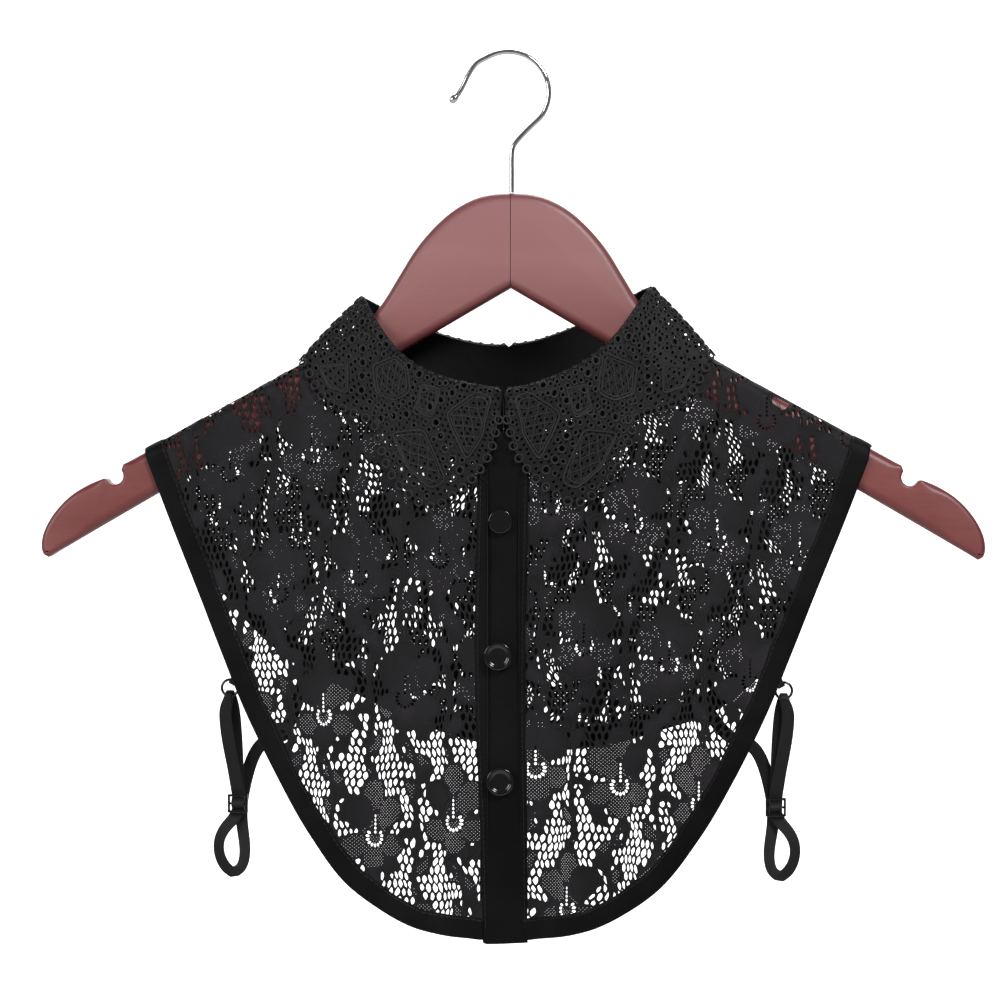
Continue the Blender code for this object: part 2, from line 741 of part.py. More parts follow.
def button(name, x, z, material):
    """A dished button on the placket."""
    side = 1 if x >= CENTRE_X else -1
    highest = max(
        hanging_y("front", side, abs(x - CENTRE_X), z + dz, PLACKET_LIFT + PLACKET_WALL)
        for dz in (-BUTTON_RADIUS, 0.0, BUTTON_RADIUS)
    )
    base = -highest - SEAM_GAP
    radius = BUTTON_RADIUS
    front = -BUTTON_THICKNESS
    profile = (
        (radius - 1.4, 0.0),
        (radius - 0.4, -0.5),
        (radius, -1.3),
        (radius - 0.3, front + 0.4),
        (radius - 1.0, front),
        (radius - 1.7, front + 0.3),
        (radius - 2.5, front + 1.1),
        (radius * 0.3, front + 1.3),
    )
    return turned(name, profile, 16, Vector((x, base, z)), material)


def sweep(name, centres, sections, material, side=None):
    """A closed solid through sections, each a list of offsets from its centre.

    With a side, the points are distances from the garment's centre line on that side.
    """
    sides = len(sections[0])
    vertices = []
    for centre, section in zip(centres, sections):
        for offset in section:
            point = centre + offset
            if side is not None:
                point.x = CENTRE_X + side * point.x
            vertices.append(point)
    faces = []
    for i in range(len(centres) - 1):
        for k in range(sides):
            n = (k + 1) % sides
            faces.append(
                (i * sides + k, i * sides + n, (i + 1) * sides + n, (i + 1) * sides + k)
            )
    faces.append(tuple(range(sides))[::-1])
    faces.append(tuple((len(centres) - 1) * sides + k for k in range(sides)))
    return add_solid(name, vertices, faces, material)


def tangents(points):
    """Unit directions along a line of points."""
    last = len(points) - 1
    return [
        (points[min(k + 1, last)] - points[max(k - 1, 0)]).normalized() for k in range(last + 1)
    ]


def hanger_half(side, material):
    """One arm of the hanger, glued to the other at the centre."""
    outline = [(HALF_GLUE_GAP, HANGER_TOP[0][1])]
    outline += list(HANGER_TOP[1:])
    start = math.atan2(HANGER_TOP[-1][1] - NOTCH_CENTRE[1], HANGER_TOP[-1][0] - NOTCH_CENTRE[0])
    end = math.atan2(HANGER_NOSE[0][1] - NOTCH_CENTRE[1], HANGER_NOSE[0][0] - NOTCH_CENTRE[0])
    end += 2 * math.pi
    for turn in steps(start, end, 8)[1:-1]:
        outline.append(
            (
                NOTCH_CENTRE[0] + NOTCH_RADIUS * math.cos(turn),
                NOTCH_CENTRE[1] + NOTCH_RADIUS * math.sin(turn),
            )
        )
    outline += list(HANGER_NOSE)
    for x in UNDERSIDE_X:
        outline.append((x, HANGER_APEX_Z - HANGER_UNDERSIDE_SLOPE * x))
    points = [Vector((x, 0.0, z)) for x, z in outline]
    inward = []
    rounds = []
    for k, point in enumerate(points):
        before = points[max(k - 1, 0)]
        after = points[min(k + 1, len(points) - 1)]
        first = (point - before).normalized() if k else (after - point).normalized()
        second = (after - point).normalized() if k + 1 < len(points) else first
        tangent = (first + second).normalized()
        normal = Vector((tangent.z, 0.0, -tangent.x))
        if k in (0, len(points) - 1):
            normal = Vector((0.0, 0.0, 1.0 / normal.z))
        else:
            normal = normal / max(normal.dot(Vector((first.z, 0.0, -first.x))), 0.6)
        inward.append(normal)
        beside_notch = abs(point.x - NOTCH_CENTRE[0]) < NOTCH_LIP_REACH
        near_notch = beside_notch and point.z > NOTCH_LIP_LOWEST
        near_tip = point.x > TIP_FROM_X
        radius = HANGER_TIP_ROUND if near_tip else HANGER_EDGE_ROUND
        rounds.append(HANGER_LIP_ROUND if near_notch else radius)
    turns = [math.radians(t) for t in (90, 60, 30, 0)]
    rings = []
    for turn in turns:
        rings.append((turn, -1.0))
    for turn in reversed(turns):
        rings.append((turn, 1.0))
    vertices = []
    for turn, sign in rings:
        for point, normal, radius in zip(points, inward, rounds):
            moved_in = point + normal * (radius * (1 - math.cos(turn)))
            y = sign * (HANGER_HALF_THICKNESS - radius * (1 - math.sin(turn)))
            vertices.append(Vector((side * moved_in.x, y, moved_in.z)))
    count = len(points)
    faces = []
    for ring in range(len(rings) - 1):
        for k in range(count - 1):
            a = ring * count + k
            faces.append((a, a + 1, a + 1 + count, a + count))
    top = (len(rings) - 1) * count
    faces.append(tuple(range(count))[::-1])
    faces.append(tuple(top + k for k in range(count)))
    firsts = [ring * count for ring in range(len(rings))]
    lasts = [ring * count + count - 1 for ring in range(len(rings))]
    faces.append(tuple(firsts + lasts[::-1]))
    return add_solid("hanger_right" if side > 0 else "hanger_left", vertices, faces, material)


def hook(material):
    """The bent wire hook with a ball end, standing on the hanger's crest."""
    centre_x, centre_z = HOOK_CENTRE
    way = [
        (0.3, HANGER_TOP[0][1] + SEAM_GAP),
        (0.3, -56.0),
        (0.3, -48.0),
        (0.9, -43.8),
        (3.4, -40.2),
        (8.0, -35.4),
    ]
    for degrees in range(-36, 121, 12):
        turn = math.radians(degrees)
        way.append(
            (
                centre_x + HOOK_BEND_RADIUS * math.cos(turn),
                centre_z + HOOK_BEND_RADIUS * math.sin(turn),
            )
        )
    way += [(-16.4, -4.4), (-20.2, -9.6), (-22.8, -15.0), (-24.9, -18.6)]
    radii = [HOOK_WIRE_RADIUS] * len(way)
    ball = ((-25.6, -19.4, 1.2), (-26.3, -20.1, 1.75), (-27.2, -21.0, HOOK_TIP_RADIUS))
    ball += ((-28.1, -21.9, 1.6), (-28.9, -22.7, 0.6))
    for x, z, radius in ball:
        way.append((x, z))
        radii.append(radius)
    centres = [Vector((x, 0.0, z)) for x, z in way]
    sections = []
    for tangent, radius in zip(tangents(centres), radii):
        beside = Vector((tangent.z, 0.0, -tangent.x))
        section = []
        for k in range(HOOK_SIDES):
            turn = 2 * math.pi * (k + 0.5) / HOOK_SIDES
            section.append(
                beside * (radius * math.cos(turn)) + Vector((0.0, radius * math.sin(turn), 0.0))
            )
        sections.append(section)
    return sweep("hook", centres, sections, material)


def ribbon_sections(centres, across, widths, thickness):
    """Flat sections along a ribbon, square to its run."""
    sections = []
    for tangent, direction, width in zip(tangents(centres), across, widths):
        wide = (direction - tangent * direction.dot(tangent)).normalized()
        thick = tangent.cross(wide).normalized()
        half_wide = wide * width / 2
        half_thick = thick * thickness / 2
        sections.append(
            [
                half_wide + half_thick,
                half_thick - half_wide,
                -half_wide - half_thick,
                half_wide - half_thick,
            ]
        )
    return sections


def strap_rows(side):
    """The strap's way with its last stretch led to the back binding of that side."""
    end_a = STRAP_BACK_END_A
    rays = [k * 0.1 for k in range(91)]
    nearest = min(rays, key=lambda ray: abs(column(BACK_RAYS, ray, 5) - end_a))
    hem = cloth_point("back", side, nearest, 1.0, 0.0)
    end_z = hem.z + STRAP_BACK_INSET
    turn_z = STRAP_WAY[-1][2]
    rows = list(STRAP_WAY)
    rows.append((106.4, 5.0, turn_z + 1.2, -1, 1.0))
    rows.append((101.2, 5.0, turn_z + 0.35 * (end_z - turn_z), -1, 1.0))
    rows.append((96.6, 5.2, turn_z + 0.7 * (end_z - turn_z), -1, 1.0))
    rows.append((end_a, 5.5, end_z, -1, 1.0))
    return rows


def strap(side, material):
    """The elastic strap of one side."""
    rows = strap_rows(side)
    centres, across, widths = [], [], []
    count = len(rows) - 1
    for k in range(count * 2 + 1):
        point = Vector([through([row[c] for row in rows], k / 2) for c in range(3)])
        centres.append(point)
        widths.append(STRAP_WIDTH * through([row[4] for row in rows], k / 2))
    directions = tangents(centres)
    for k, tangent in enumerate(directions):
        facing = rows[min(int(round(k / 2)), count)][3]
        if facing == 0:
            across.append(Vector((1.0, 0.0, 0.0)))
        else:
            across.append(Vector((tangent.z, 0.0, -tangent.x)) * facing)
    sections = ribbon_sections(centres, across, widths, STRAP_THICKNESS)
    return sweep("strap_right" if side > 0 else "strap_left", centres, sections, material, side)


def ring(side, material):
    """The wire ring between tab and strap."""
    around, sides = 16, 5
    place = Vector((CENTRE_X + side * RING_CENTRE[0], RING_CENTRE[1], RING_CENTRE[2]))
    vertices, faces = [], []
    for i in range(around):
        turn = 2 * math.pi * i / around
        out = Vector((math.cos(turn), 0.0, math.sin(turn)))
        for k in range(sides):
            roll = 2 * math.pi * k / sides
            offset = out * (RING_RADIUS + RING_WIRE_RADIUS * math.cos(roll))
            offset += Vector((0.0, RING_WIRE_RADIUS * math.sin(roll), 0.0))
            vertices.append(place + offset)
    for i in range(around):
        for k in range(sides):
            m, n = (i + 1) % around, (k + 1) % sides
            faces.append((i * sides + k, i * sides + n, m * sides + n, m * sides + k))
    return add_solid("ring_right" if side > 0 else "ring_left", vertices, faces, material)


def tab(side, material):
    """The folded elastic tab that holds the ring, sewn inside the binding."""
    a, y, z = RING_CENTRE
    run = Vector((TAB_RUN[0], 0.0, TAB_RUN[1]))
    top = Vector((a, y, z)) + run * RING_RADIUS
    close = RING_WIRE_RADIUS + 0.35 + TAB_THICKNESS / 2
    under = 1.9
    sewn = top + run * 17.0
    centres = [
        sewn + Vector((0.0, -3.7, 0.0)),
        top + run * 12.0 + Vector((0.0, -2.9, 0.0)),
        top + run * 6.0 + Vector((0.0, -1.8, 0.0)),
        top + run * 1.6 + Vector((0.0, -close, 0.0)),
        top - run * 0.6 + Vector((0.0, -close, 0.0)),
        top - run * under * 0.8 + Vector((0.0, -close * 0.62, 0.0)),
        top - run * under,
        top - run * under * 0.8 + Vector((0.0, close * 0.62, 0.0)),
        top - run * 0.6 + Vector((0.0, close, 0.0)),
        top + run * 1.6 + Vector((0.0, close, 0.0)),
        top + run * 6.0 + Vector((0.0, 0.7, 0.0)),
        top + run * 12.0 + Vector((0.0, -1.0, 0.0)),
        sewn + Vector((0.0, -2.2, 0.0)),
    ]
    across = [Vector((TAB_RUN[1], 0.0, -TAB_RUN[0]))] * len(centres)
    narrow = TAB_WIDTH_AT_RING
    widths = [TAB_WIDTH, TAB_WIDTH, 5.0] + [narrow] * 7 + [5.0, TAB_WIDTH, TAB_WIDTH]
    sections = ribbon_sections(centres, across, widths, TAB_THICKNESS)
    return sweep("tab_right" if side > 0 else "tab_left", centres, sections, material, side)


def slider(side, material):
    """A slider with two windows and a middle bar."""
    a, y, z = SLIDER_CENTRE
    width, depth, height = SLIDER_SIZE
    bars_x = (-width / 2, -width / 2 + SLIDER_BAR, width / 2 - SLIDER_BAR, width / 2)
    half_bar = SLIDER_BAR / 2 - 0.1
    bars_z = (-height / 2, -height / 2 + SLIDER_BAR, -half_bar, half_bar)
    bars_z += (height / 2 - SLIDER_BAR, height / 2)
    windows = {(1, 1), (1, 3)}
    vertices = []
    for offset_y in (-depth / 2, depth / 2):
        for bar_z in bars_z:
            for bar_x in bars_x:
                x = CENTRE_X + side * (a + bar_x)
                vertices.append(Vector((x, y + offset_y, z + bar_z)))
    row, layer = len(bars_x), len(bars_x) * len(bars_z)
    faces = []

    def cell(i, j):
        """Whether this cell of the plate is solid."""
        return 0 <= i < row - 1 and 0 <= j < len(bars_z) - 1 and (i, j) not in windows

    for j in range(len(bars_z) - 1):
        for i in range(row - 1):
            if not cell(i, j):
                continue
            p = j * row + i
            faces.append((p, p + 1, p + 1 + row, p + row))
            faces.append((p + layer, p + row + layer, p + 1 + row + layer, p + 1 + layer))
            if not cell(i, j - 1):
                faces.append((p + 1, p, p + layer, p + 1 + layer))
            if not cell(i, j + 1):
                faces.append((p + row, p + row + 1, p + row + 1 + layer, p + row + layer))
            if not cell(i - 1, j):
                faces.append((p, p + row, p + row + layer, p + layer))
            if not cell(i + 1, j):
                faces.append((p + row + 1, p + 1, p + 1 + layer, p + row + 1 + layer))
    name = "slider_right" if side > 0 else "slider_left"
    return add_solid(name, vertices, faces, material, smooth=False)


def main():
    """Model every piece."""
    clear_scene()
    wood = make_material("mahogany_lacquer", (0.20, 0.035, 0.035), 0.3)
    chrome = make_material("chrome_wire", (0.8, 0.8, 0.8), 0.12, 1.0)
    lace = make_material("black_floral_lace", (0.012, 0.011, 0.013), 0.85)
    guipure = make_material("black_guipure", (0.008, 0.008, 0.009), 0.75)
    satin = make_material("black_satin", (0.010, 0.010, 0.011), 0.55)
    elastic = make_material("black_elastic", (0.014, 0.014, 0.015), 0.7)
    gloss = make_material("gloss_black_plastic", (0.006, 0.006, 0.006), 0.15)
    for side in (-1, 1):
        hanger_half(side, wood)
    hook(chrome)
    for side in (-1, 1):
        front_panel(side, lace)
        front_binding(side, satin)
    back_panel(lace)
    back_binding(satin)
    neckband(satin)
    for side in (-1, 1):
        collar(side, guipure)
    top_lifts = (PLACKET_LIFT, PLACKET_LIFT + PLACKET_WALL)
    centre_band("placket", top_lifts, PLACKET_BOTTOM, satin)
    centre_band("button_stand", BUTTON_STAND_LIFTS, PLACKET_BOTTOM + BUTTON_STAND_SHORTER, satin)
    for name, x, z in BUTTONS:
        button(name, x, z, gloss)
    for side in (-1, 1):
        tab(side, elastic)
        ring(side, gloss)
        strap(side, elastic)
        slider(side, gloss)


main()
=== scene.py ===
"""Looks of a buttoned lace half front with a guipure collar, hung on a wooden hanger.

Places and sizes are millimetres and become metres where a mesh is made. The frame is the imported
model's: +X to the right as seen from the front, +Y away from the viewer, +Z up, and the origin at the
inside top of the hook. Every cloth piece lies on one hanging surface, the same as its solid's. A place
on a panel is a pair: the distance from the garment's centre line, negative on the left, and a height
that runs on as an arc length where the cloth turns over the rounded top of the hanger's arm.
"""

import json
import logging
import math
from collections.abc import Callable, Iterable, Sequence
from dataclasses import dataclass, field
from enum import Enum

import bpy
import numpy as np
from mathutils import Matrix, Vector
from mathutils.geometry import delaunay_2d_cdt

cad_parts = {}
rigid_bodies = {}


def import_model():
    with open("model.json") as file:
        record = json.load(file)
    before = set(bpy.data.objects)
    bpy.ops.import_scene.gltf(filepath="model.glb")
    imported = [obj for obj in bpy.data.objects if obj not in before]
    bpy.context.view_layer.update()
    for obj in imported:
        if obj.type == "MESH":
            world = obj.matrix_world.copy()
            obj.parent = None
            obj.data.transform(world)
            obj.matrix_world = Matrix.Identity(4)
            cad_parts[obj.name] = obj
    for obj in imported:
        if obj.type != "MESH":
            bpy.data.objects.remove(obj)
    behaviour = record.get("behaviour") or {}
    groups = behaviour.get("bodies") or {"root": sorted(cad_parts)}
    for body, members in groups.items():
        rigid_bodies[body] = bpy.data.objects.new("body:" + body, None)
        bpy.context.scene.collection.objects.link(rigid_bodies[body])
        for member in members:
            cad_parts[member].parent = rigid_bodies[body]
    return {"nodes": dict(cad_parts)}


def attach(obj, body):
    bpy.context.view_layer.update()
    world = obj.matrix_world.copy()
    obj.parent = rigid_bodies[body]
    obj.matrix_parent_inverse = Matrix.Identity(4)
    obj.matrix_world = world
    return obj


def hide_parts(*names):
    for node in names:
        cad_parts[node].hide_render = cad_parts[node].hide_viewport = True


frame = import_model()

MM = 0.001
BODY = "root"
BAND_SMOOTH = 60.0
SIDES = ((1, "right"), (-1, "left"))

log = logging.getLogger("lace_collar")

Array = np.ndarray
Colour = tuple[float, float, float]
Socket = bpy.types.NodeSocket


class Face(Enum):
    """Which side of the hanger a cloth piece hangs on."""

    FRONT = -1.0
    BACK = 1.0


class Filling(Enum):
    """How a lace motif is worked, and how dense it is."""

    NET = 0.0
    MESH = 0.5
    SOLID = 1.0


# The hanger's top outline from the crest to the notch
HANGER_TOP = np.array(
    (
        # x, z
        (0.0, -65.5),
        (9.0, -66.1),
        (17.5, -68.4),
        (27.5, -74.0),
        (37.0, -82.5),
        (45.2, -92.4),
        (53.0, -105.0),
        (60.4, -117.0),
        (68.0, -126.4),
        (77.5, -133.9),
        (90.0, -141.6),
        (106.0, -151.0),
        (140.0, -169.7),
        (172.0, -187.2),
        (183.4, -193.5),
    )
)

# The hanger's nose, from the notch's outer lip round to the underside
HANGER_NOSE = np.array(
    (
        # x, z
        (192.6, -200.2),
        (200.2, -203.2),
        (209.6, -209.4),
        (216.8, -217.3),
        (221.2, -225.3),
        (222.5, -231.8),
        (221.6, -236.0),
        (219.2, -237.6),
    )
)

# Rays from the neck seam to the garment's outer edge, from the centre to the shoulder
FRONT_RAYS = np.array(
    (
        # fold a, fold y, fold z, seam a, seam z, edge a, edge z, collar a, collar z
        (11.6, 26.4, -157.4, 11.6, -180.4, 11.6, -415.2, 4.8, -190.0),
        (21.0, 25.6, -154.9, 21.0, -177.8, 43.5, -410.0, 14.5, -202.5),
        (30.0, 24.0, -151.6, 30.5, -173.6, 71.0, -393.5, 32.0, -214.2),
        (38.0, 21.6, -147.6, 39.5, -167.8, 91.5, -368.0, 45.0, -207.8),
        (45.2, 18.8, -142.6, 47.5, -161.0, 107.5, -341.0, 53.5, -197.5),
        (51.4, 15.8, -137.0, 54.5, -153.8, 122.0, -311.5, 58.5, -184.5),
        (57.0, 12.8, -130.4, 60.5, -146.8, 134.2, -281.5, 61.5, -174.8),
        (61.6, 10.0, -123.8, 65.5, -140.4, 145.8, -252.0, 74.0, -169.8),
        (65.4, 6.8, -117.8, 69.2, -135.9, 158.0, -221.8, 86.5, -163.5),
        (67.6, 3.8, -114.4, 71.5, -134.0, 170.0, -190.6, 95.5, -149.0),
        (69.0, 0.0, -112.9, 73.0, -130.4, 171.8, -187.0, 98.0, -146.0),
    )
)
BACK_RAYS = np.array(
    (
        # fold a, fold y, fold z, seam a, seam z, edge a, edge z, collar a, collar z
        (0.0, 25.0, -136.8, 0.0, -160.6, 0.0, -330.0, 0.0, -176.0),
        (11.0, 24.7, -135.8, 12.0, -160.0, 26.0, -326.4, 13.0, -186.5),
        (22.0, 23.7, -133.2, 24.0, -158.2, 51.5, -319.8, 26.0, -192.8),
        (33.0, 21.7, -129.6, 35.5, -155.0, 75.5, -310.0, 40.0, -191.2),
        (43.0, 18.9, -125.4, 45.5, -150.8, 99.0, -300.0, 51.0, -183.0),
        (51.5, 15.5, -121.2, 54.0, -146.2, 119.5, -283.2, 58.5, -173.5),
        (58.0, 12.2, -117.8, 60.5, -142.2, 136.0, -263.0, 70.0, -171.5),
        (62.8, 9.0, -115.3, 65.6, -138.8, 148.5, -240.5, 81.0, -167.5),
        (66.2, 5.9, -113.7, 69.2, -135.9, 159.5, -216.5, 90.0, -160.0),
        (68.0, 3.2, -113.1, 71.5, -134.0, 170.0, -190.6, 95.5, -149.0),
        (69.0, 0.0, -112.9, 73.0, -130.4, 171.8, -187.0, 98.0, -146.0),
    )
)
LAST_FAN = 9.0

# Soft folds: a ridge is positive and a trough negative, on one side of one panel
FOLDS = (
    # face, side, top a, top z, bottom a, bottom z, height, half width
    (Face.FRONT, 1, 34.0, -238.0, 27.0, -414.0, 3.2, 9.0),
    (Face.FRONT, 1, 62.0, -226.0, 58.0, -402.0, -2.6, 10.0),
    (Face.FRONT, 1, 84.0, -232.0, 88.0, -372.0, 2.4, 12.0),
    (Face.FRONT, 1, 112.0, -222.0, 116.0, -326.0, -1.8, 11.0),
    (Face.FRONT, -1, 30.0, -246.0, 24.0, -414.0, 2.8, 8.0),
    (Face.FRONT, -1, 52.0, -230.0, 60.0, -400.0, -2.4, 11.0),
    (Face.FRONT, -1, 92.0, -226.0, 84.0, -378.0, 3.0, 13.0),
    (Face.FRONT, -1, 120.0, -232.0, 112.0, -334.0, -2.0, 9.0),
    (Face.BACK, 1, 40.0, -214.0, 46.0, -322.0, 2.6, 13.0),
    (Face.BACK, 1, 96.0, -206.0, 84.0, -306.0, -2.0, 12.0),
    (Face.BACK, -1, 32.0, -220.0, 28.0, -324.0, -2.2, 12.0),
    (Face.BACK, -1, 78.0, -210.0, 86.0, -304.0, 2.4, 14.0),
)


def ease(value: Array | float) -> Array:
    """A smooth step from 0 to 1."""
    value = np.clip(value, 0.0, 1.0)
    return value * value * (3.0 - 2.0 * value)


def smooth_line(points: Array, per_span: int) -> Array:
    """Read a smooth curve through points.

    Args:
        points: Points of two or three numbers, one a row.
        per_span: How many steps each span between two points gets.

    Returns:
        The curve's points, the first and last of the given ones included.
    """
    points = np.asarray(points, float)
    chord = np.linalg.norm(np.diff(points, axis=0), axis=1)
    before = np.vstack([points[:1] * 2 - points[1:2], points[:-2]])
    after = np.vstack([points[2:], points[-1:] * 2 - points[-2:-1]])
    before_chord = np.concatenate([chord[:1], chord[:-1]])
    after_chord = np.concatenate([chord[1:], chord[-1:]])
    leave = (points[1:] - before) / (before_chord + chord)[:, None] * chord[:, None]
    arrive = (after - points[:-1]) / (chord + after_chord)[:, None] * chord[:, None]
    rows = []
    for part in np.arange(per_span) / per_span:
        square, cube = part**2, part**3
        rows.append(
            (2 * cube - 3 * square + 1) * points[:-1]
            + (cube - 2 * square + part) * leave
            + (3 * square - 2 * cube) * points[1:]
            + (cube - square) * arrive
        )
    line = np.stack(rows, axis=1).reshape(-1, points.shape[1])
    return np.vstack([line, points[-1:]])


def resampled(line: Array, count: int, closed: bool = False) -> Array:
    """Give a line evenly spaced points, by its length.

    Args:
        line: The line's points.
        count: How many points to return.
        closed: Whether the line goes back to its first point.

    Returns:
        The evenly spaced points. A closed line's first point isn't repeated.
    """
    if closed:
        line = np.vstack([line, line[:1]])
    along = along_line(line)
    places = np.linspace(0.0, along[-1], count + 1 if closed else count)
    columns = [np.interp(places, along, line[:, k]) for k in range(line.shape[1])]
    even = np.stack(columns, axis=1)
    return even[:-1] if closed else even


def along_line(line: Array) -> Array:
    """Distance of each point of a line from its first."""
    return np.concatenate([[0.0], np.cumsum(np.linalg.norm(np.diff(line, axis=0), axis=1))])


def staggered(box: Sequence[float], pitch: float, rise: float) -> Array:
    """Points of a grid with every other row set off by half a pitch.

    Args:
        box: The grid's least and most across, then its least and most up.
        pitch: The distance between two points of a row.
        rise: The distance between two rows.

    Returns:
        One row of two numbers for each point.
    """
    rows = []
    for number, height in enumerate(np.arange(box[2], box[3], rise)):
        across = np.arange(box[0], box[1], pitch) + pitch / 2 * (number % 2)
        rows.append(np.stack([across, np.full(len(across), height)], axis=1))
    return np.concatenate(rows)


def column(rays: Array, ray: Array | float, index: int) -> Array:
    """Read one column of a ray table smoothly at a ray."""
    ray = np.asarray(ray, float)
    values = rays[:, index]
    last = len(values) - 1
    start = np.clip(np.floor(ray).astype(int), 0, last - 1)
    part = ray - start
    low, high = values[start], values[start + 1]
    before = values[np.maximum(start - 1, 0)]
    after = values[np.minimum(start + 2, last)]
    leave = np.where(start > 0, (high - before) / 2, high - low)
    arrive = np.where(start + 2 <= last, (after - low) / 2, high - low)
    square, cube = part**2, part**3
    return (
        (2 * cube - 3 * square + 1) * low
        + (cube - 2 * square + part) * leave
        + (3 * square - 2 * cube) * high
        + (cube - square) * arrive
    )


@dataclass(frozen=True)
class Drape:
    """The hanging surface that every cloth piece lies on."""

    centre_x: float = -2.0
    half_thickness: float = 6.0
    edge_round: float = 4.5
    wood_clearance: float = 0.5
    neck_clearance: float = 2.4
    clearance_even_from_a: float = 92.0
    clearance_ease_run: float = 18.0
    front_neck_depth: float = 21.0
    back_neck_depth: float = 19.0
    neck_spread_width: float = 54.0
    depth_ease_drop: float = 22.0
    depth_full_z: float = -181.0
    depth_fall: float = 110.0
    hem_depth_share: float = 0.38
    hem_flare: float = 2.2
    flare_top_z: float = -190.0
    flare_run: float = 120.0
    wrap_least_a: float = 60.0
    shoulder_half_gap: float = 0.16
    fold_ease_share: float = 0.45
    front_lean: float = 3.0
    back_lean: float = 10.0
    top: Array = field(default_factory=lambda: smooth_line(HANGER_TOP, 24))

    @property
    def flat(self) -> float:
        """Half the width of the flat along the top of the arm."""
        return self.half_thickness - self.edge_round

    def wood_top(self, x: Array | float) -> Array:
        """Height of the hanger's top outline at a place along it."""
        return np.interp(np.abs(x), self.top[:, 0], self.top[:, 1])

    def clearance(self, a: Array | float) -> Array:
        """How far the cloth's inner face stands off the wood."""
        near = ease((self.clearance_even_from_a - a) / self.clearance_ease_run)
        return self.wood_clearance + (self.neck_clearance - self.wood_clearance) * near

    def folds(self, face: Face, side: Array, a: Array, z: Array) -> Array:
        """Height of the soft folds at places of a panel."""
        total = np.zeros(np.broadcast(a, z).shape)
        for name, fold_side, top_a, top_z, low_a, low_z, height, half_width in FOLDS:
            if name is not face:
                continue
            along = (top_z - z) / (top_z - low_z)
            off = (a - top_a - (low_a - top_a) * along) / half_width
            ridge = height * ease(along / self.fold_ease_share) * np.exp(-off * off)
            total = total + np.where(np.asarray(side) == fold_side, ridge, 0.0)
        return total

    def depth(self, face: Face, side: Array, a: Array, z: Array, lift: Array | float) -> Array:
        """Distance of the hanging cloth from the hanger's plane."""
        full = self.front_neck_depth if face is Face.FRONT else self.back_neck_depth
        wood = self.wood_top(self.centre_x + side * a)
        below = ease((wood - z) / self.depth_ease_drop)
        left = np.exp(np.minimum((z - self.depth_full_z) / self.depth_fall, 0.0))
        fall = self.hem_depth_share + (1.0 - self.hem_depth_share) * left
        across = np.exp(-((a / self.neck_spread_width) ** 2))
        flare = self.hem_flare * ease((self.flare_top_z - z) / self.flare_run)
        spread = below * (full * fall * across + flare) + self.folds(face, side, a, z)
        return self.flat + self.edge_round + self.clearance(a) + lift + spread

    def wrap_start(self, across: Array | float) -> Array:
        """Height at which the cloth begins to turn over the arm."""
        return self.wood_top(self.centre_x + np.asarray(across)) - self.edge_round

    def shoulder(self, across: Array | float) -> Array:
        """Unrolled height of the shoulder seam, on top of the arm."""
        corner = self.edge_round + self.clearance(np.abs(across))
        quarter = corner * math.pi / 2 + self.flat - self.shoulder_half_gap
        return self.wrap_start(across) + quarter

    def point(self, face: Face, across: Array, up: Array, lift: Array | float) -> Array:
        """Place points of a panel in space.

        Args:
            face: The panel's side of the hanger.
            across: Distances from the garment's centre line, negative on the left.
            up: Heights, as arc lengths past the start of the turn over the arm.
            lift: How far the points stand out of the cloth's inner face.

        Returns:
            One row of x, y and z for each point, in millimetres.
        """
        across, up = np.asarray(across, float), np.asarray(up, float)
        side = np.where(across >= 0, 1.0, -1.0)
        a = np.abs(across)
        start = self.wrap_start(across)
        inner = self.edge_round + self.clearance(a)
        over = up - start
        turn = np.clip(over / inner, 0.0, math.pi / 2)
        past = np.maximum(over - inner * math.pi / 2, 0.0)
        wrapped = (a >= self.wrap_least_a) & (over > 0)
        y_turned = self.flat + (inner + lift) * np.cos(turn) - past
        z_turned = start + (inner + lift) * np.sin(turn)
        y = np.where(wrapped, y_turned, self.depth(face, side, a, up, lift))
        z = np.where(wrapped, z_turned, up)
        return np.stack([self.centre_x + across, face.value * y, z], axis=-1)

    def normal(self, face: Face, across: Array, up: Array, lift: float) -> Array:
        """Unit normals that point out of the cloth's outer face."""
        step = 0.4
        right = self.point(face, across + step, up, lift) - self.point(face, across - step, up, lift)
        rise = self.point(face, across, up + step, lift) - self.point(face, across, up - step, lift)
        out = np.cross(right, rise) * face.value
        out = out * np.where(out[..., 1:2] * face.value < 0, -1.0, 1.0)
        return out / np.maximum(np.linalg.norm(out, axis=-1, keepdims=True), 1e-9)

    def lean(self, face: Face, side: int, ray: Array) -> Array:
        """How far one side of the garment hangs lower or higher than the other."""
        amount = self.front_lean * side if face is Face.FRONT else -self.back_lean * side
        return amount * np.sin(math.pi * np.minimum(ray, LAST_FAN) / LAST_FAN)

    def seam(self, face: Face, side: int) -> Array:
        """The neck seam of one half, from the centre to the shoulder, across and up."""
        rays = FRONT_RAYS if face is Face.FRONT else BACK_RAYS
        ray = np.linspace(0.0, LAST_FAN, 46)
        a, z = column(rays, ray, 3), column(rays, ray, 4)
        if face is Face.FRONT:
            z = z + self.lean(face, side, ray)
        turned = np.linspace(0.0, 1.0, 6)[1:]
        a_turned = rays[9, 3] + (rays[10, 3] - rays[9, 3]) * turned
        start, end = self.wrap_start(side * a_turned), self.shoulder(side * a_turned)
        a = np.concatenate([a, a_turned])
        return np.stack([side * a, np.concatenate([z, start + (end - start) * turned])], axis=1)

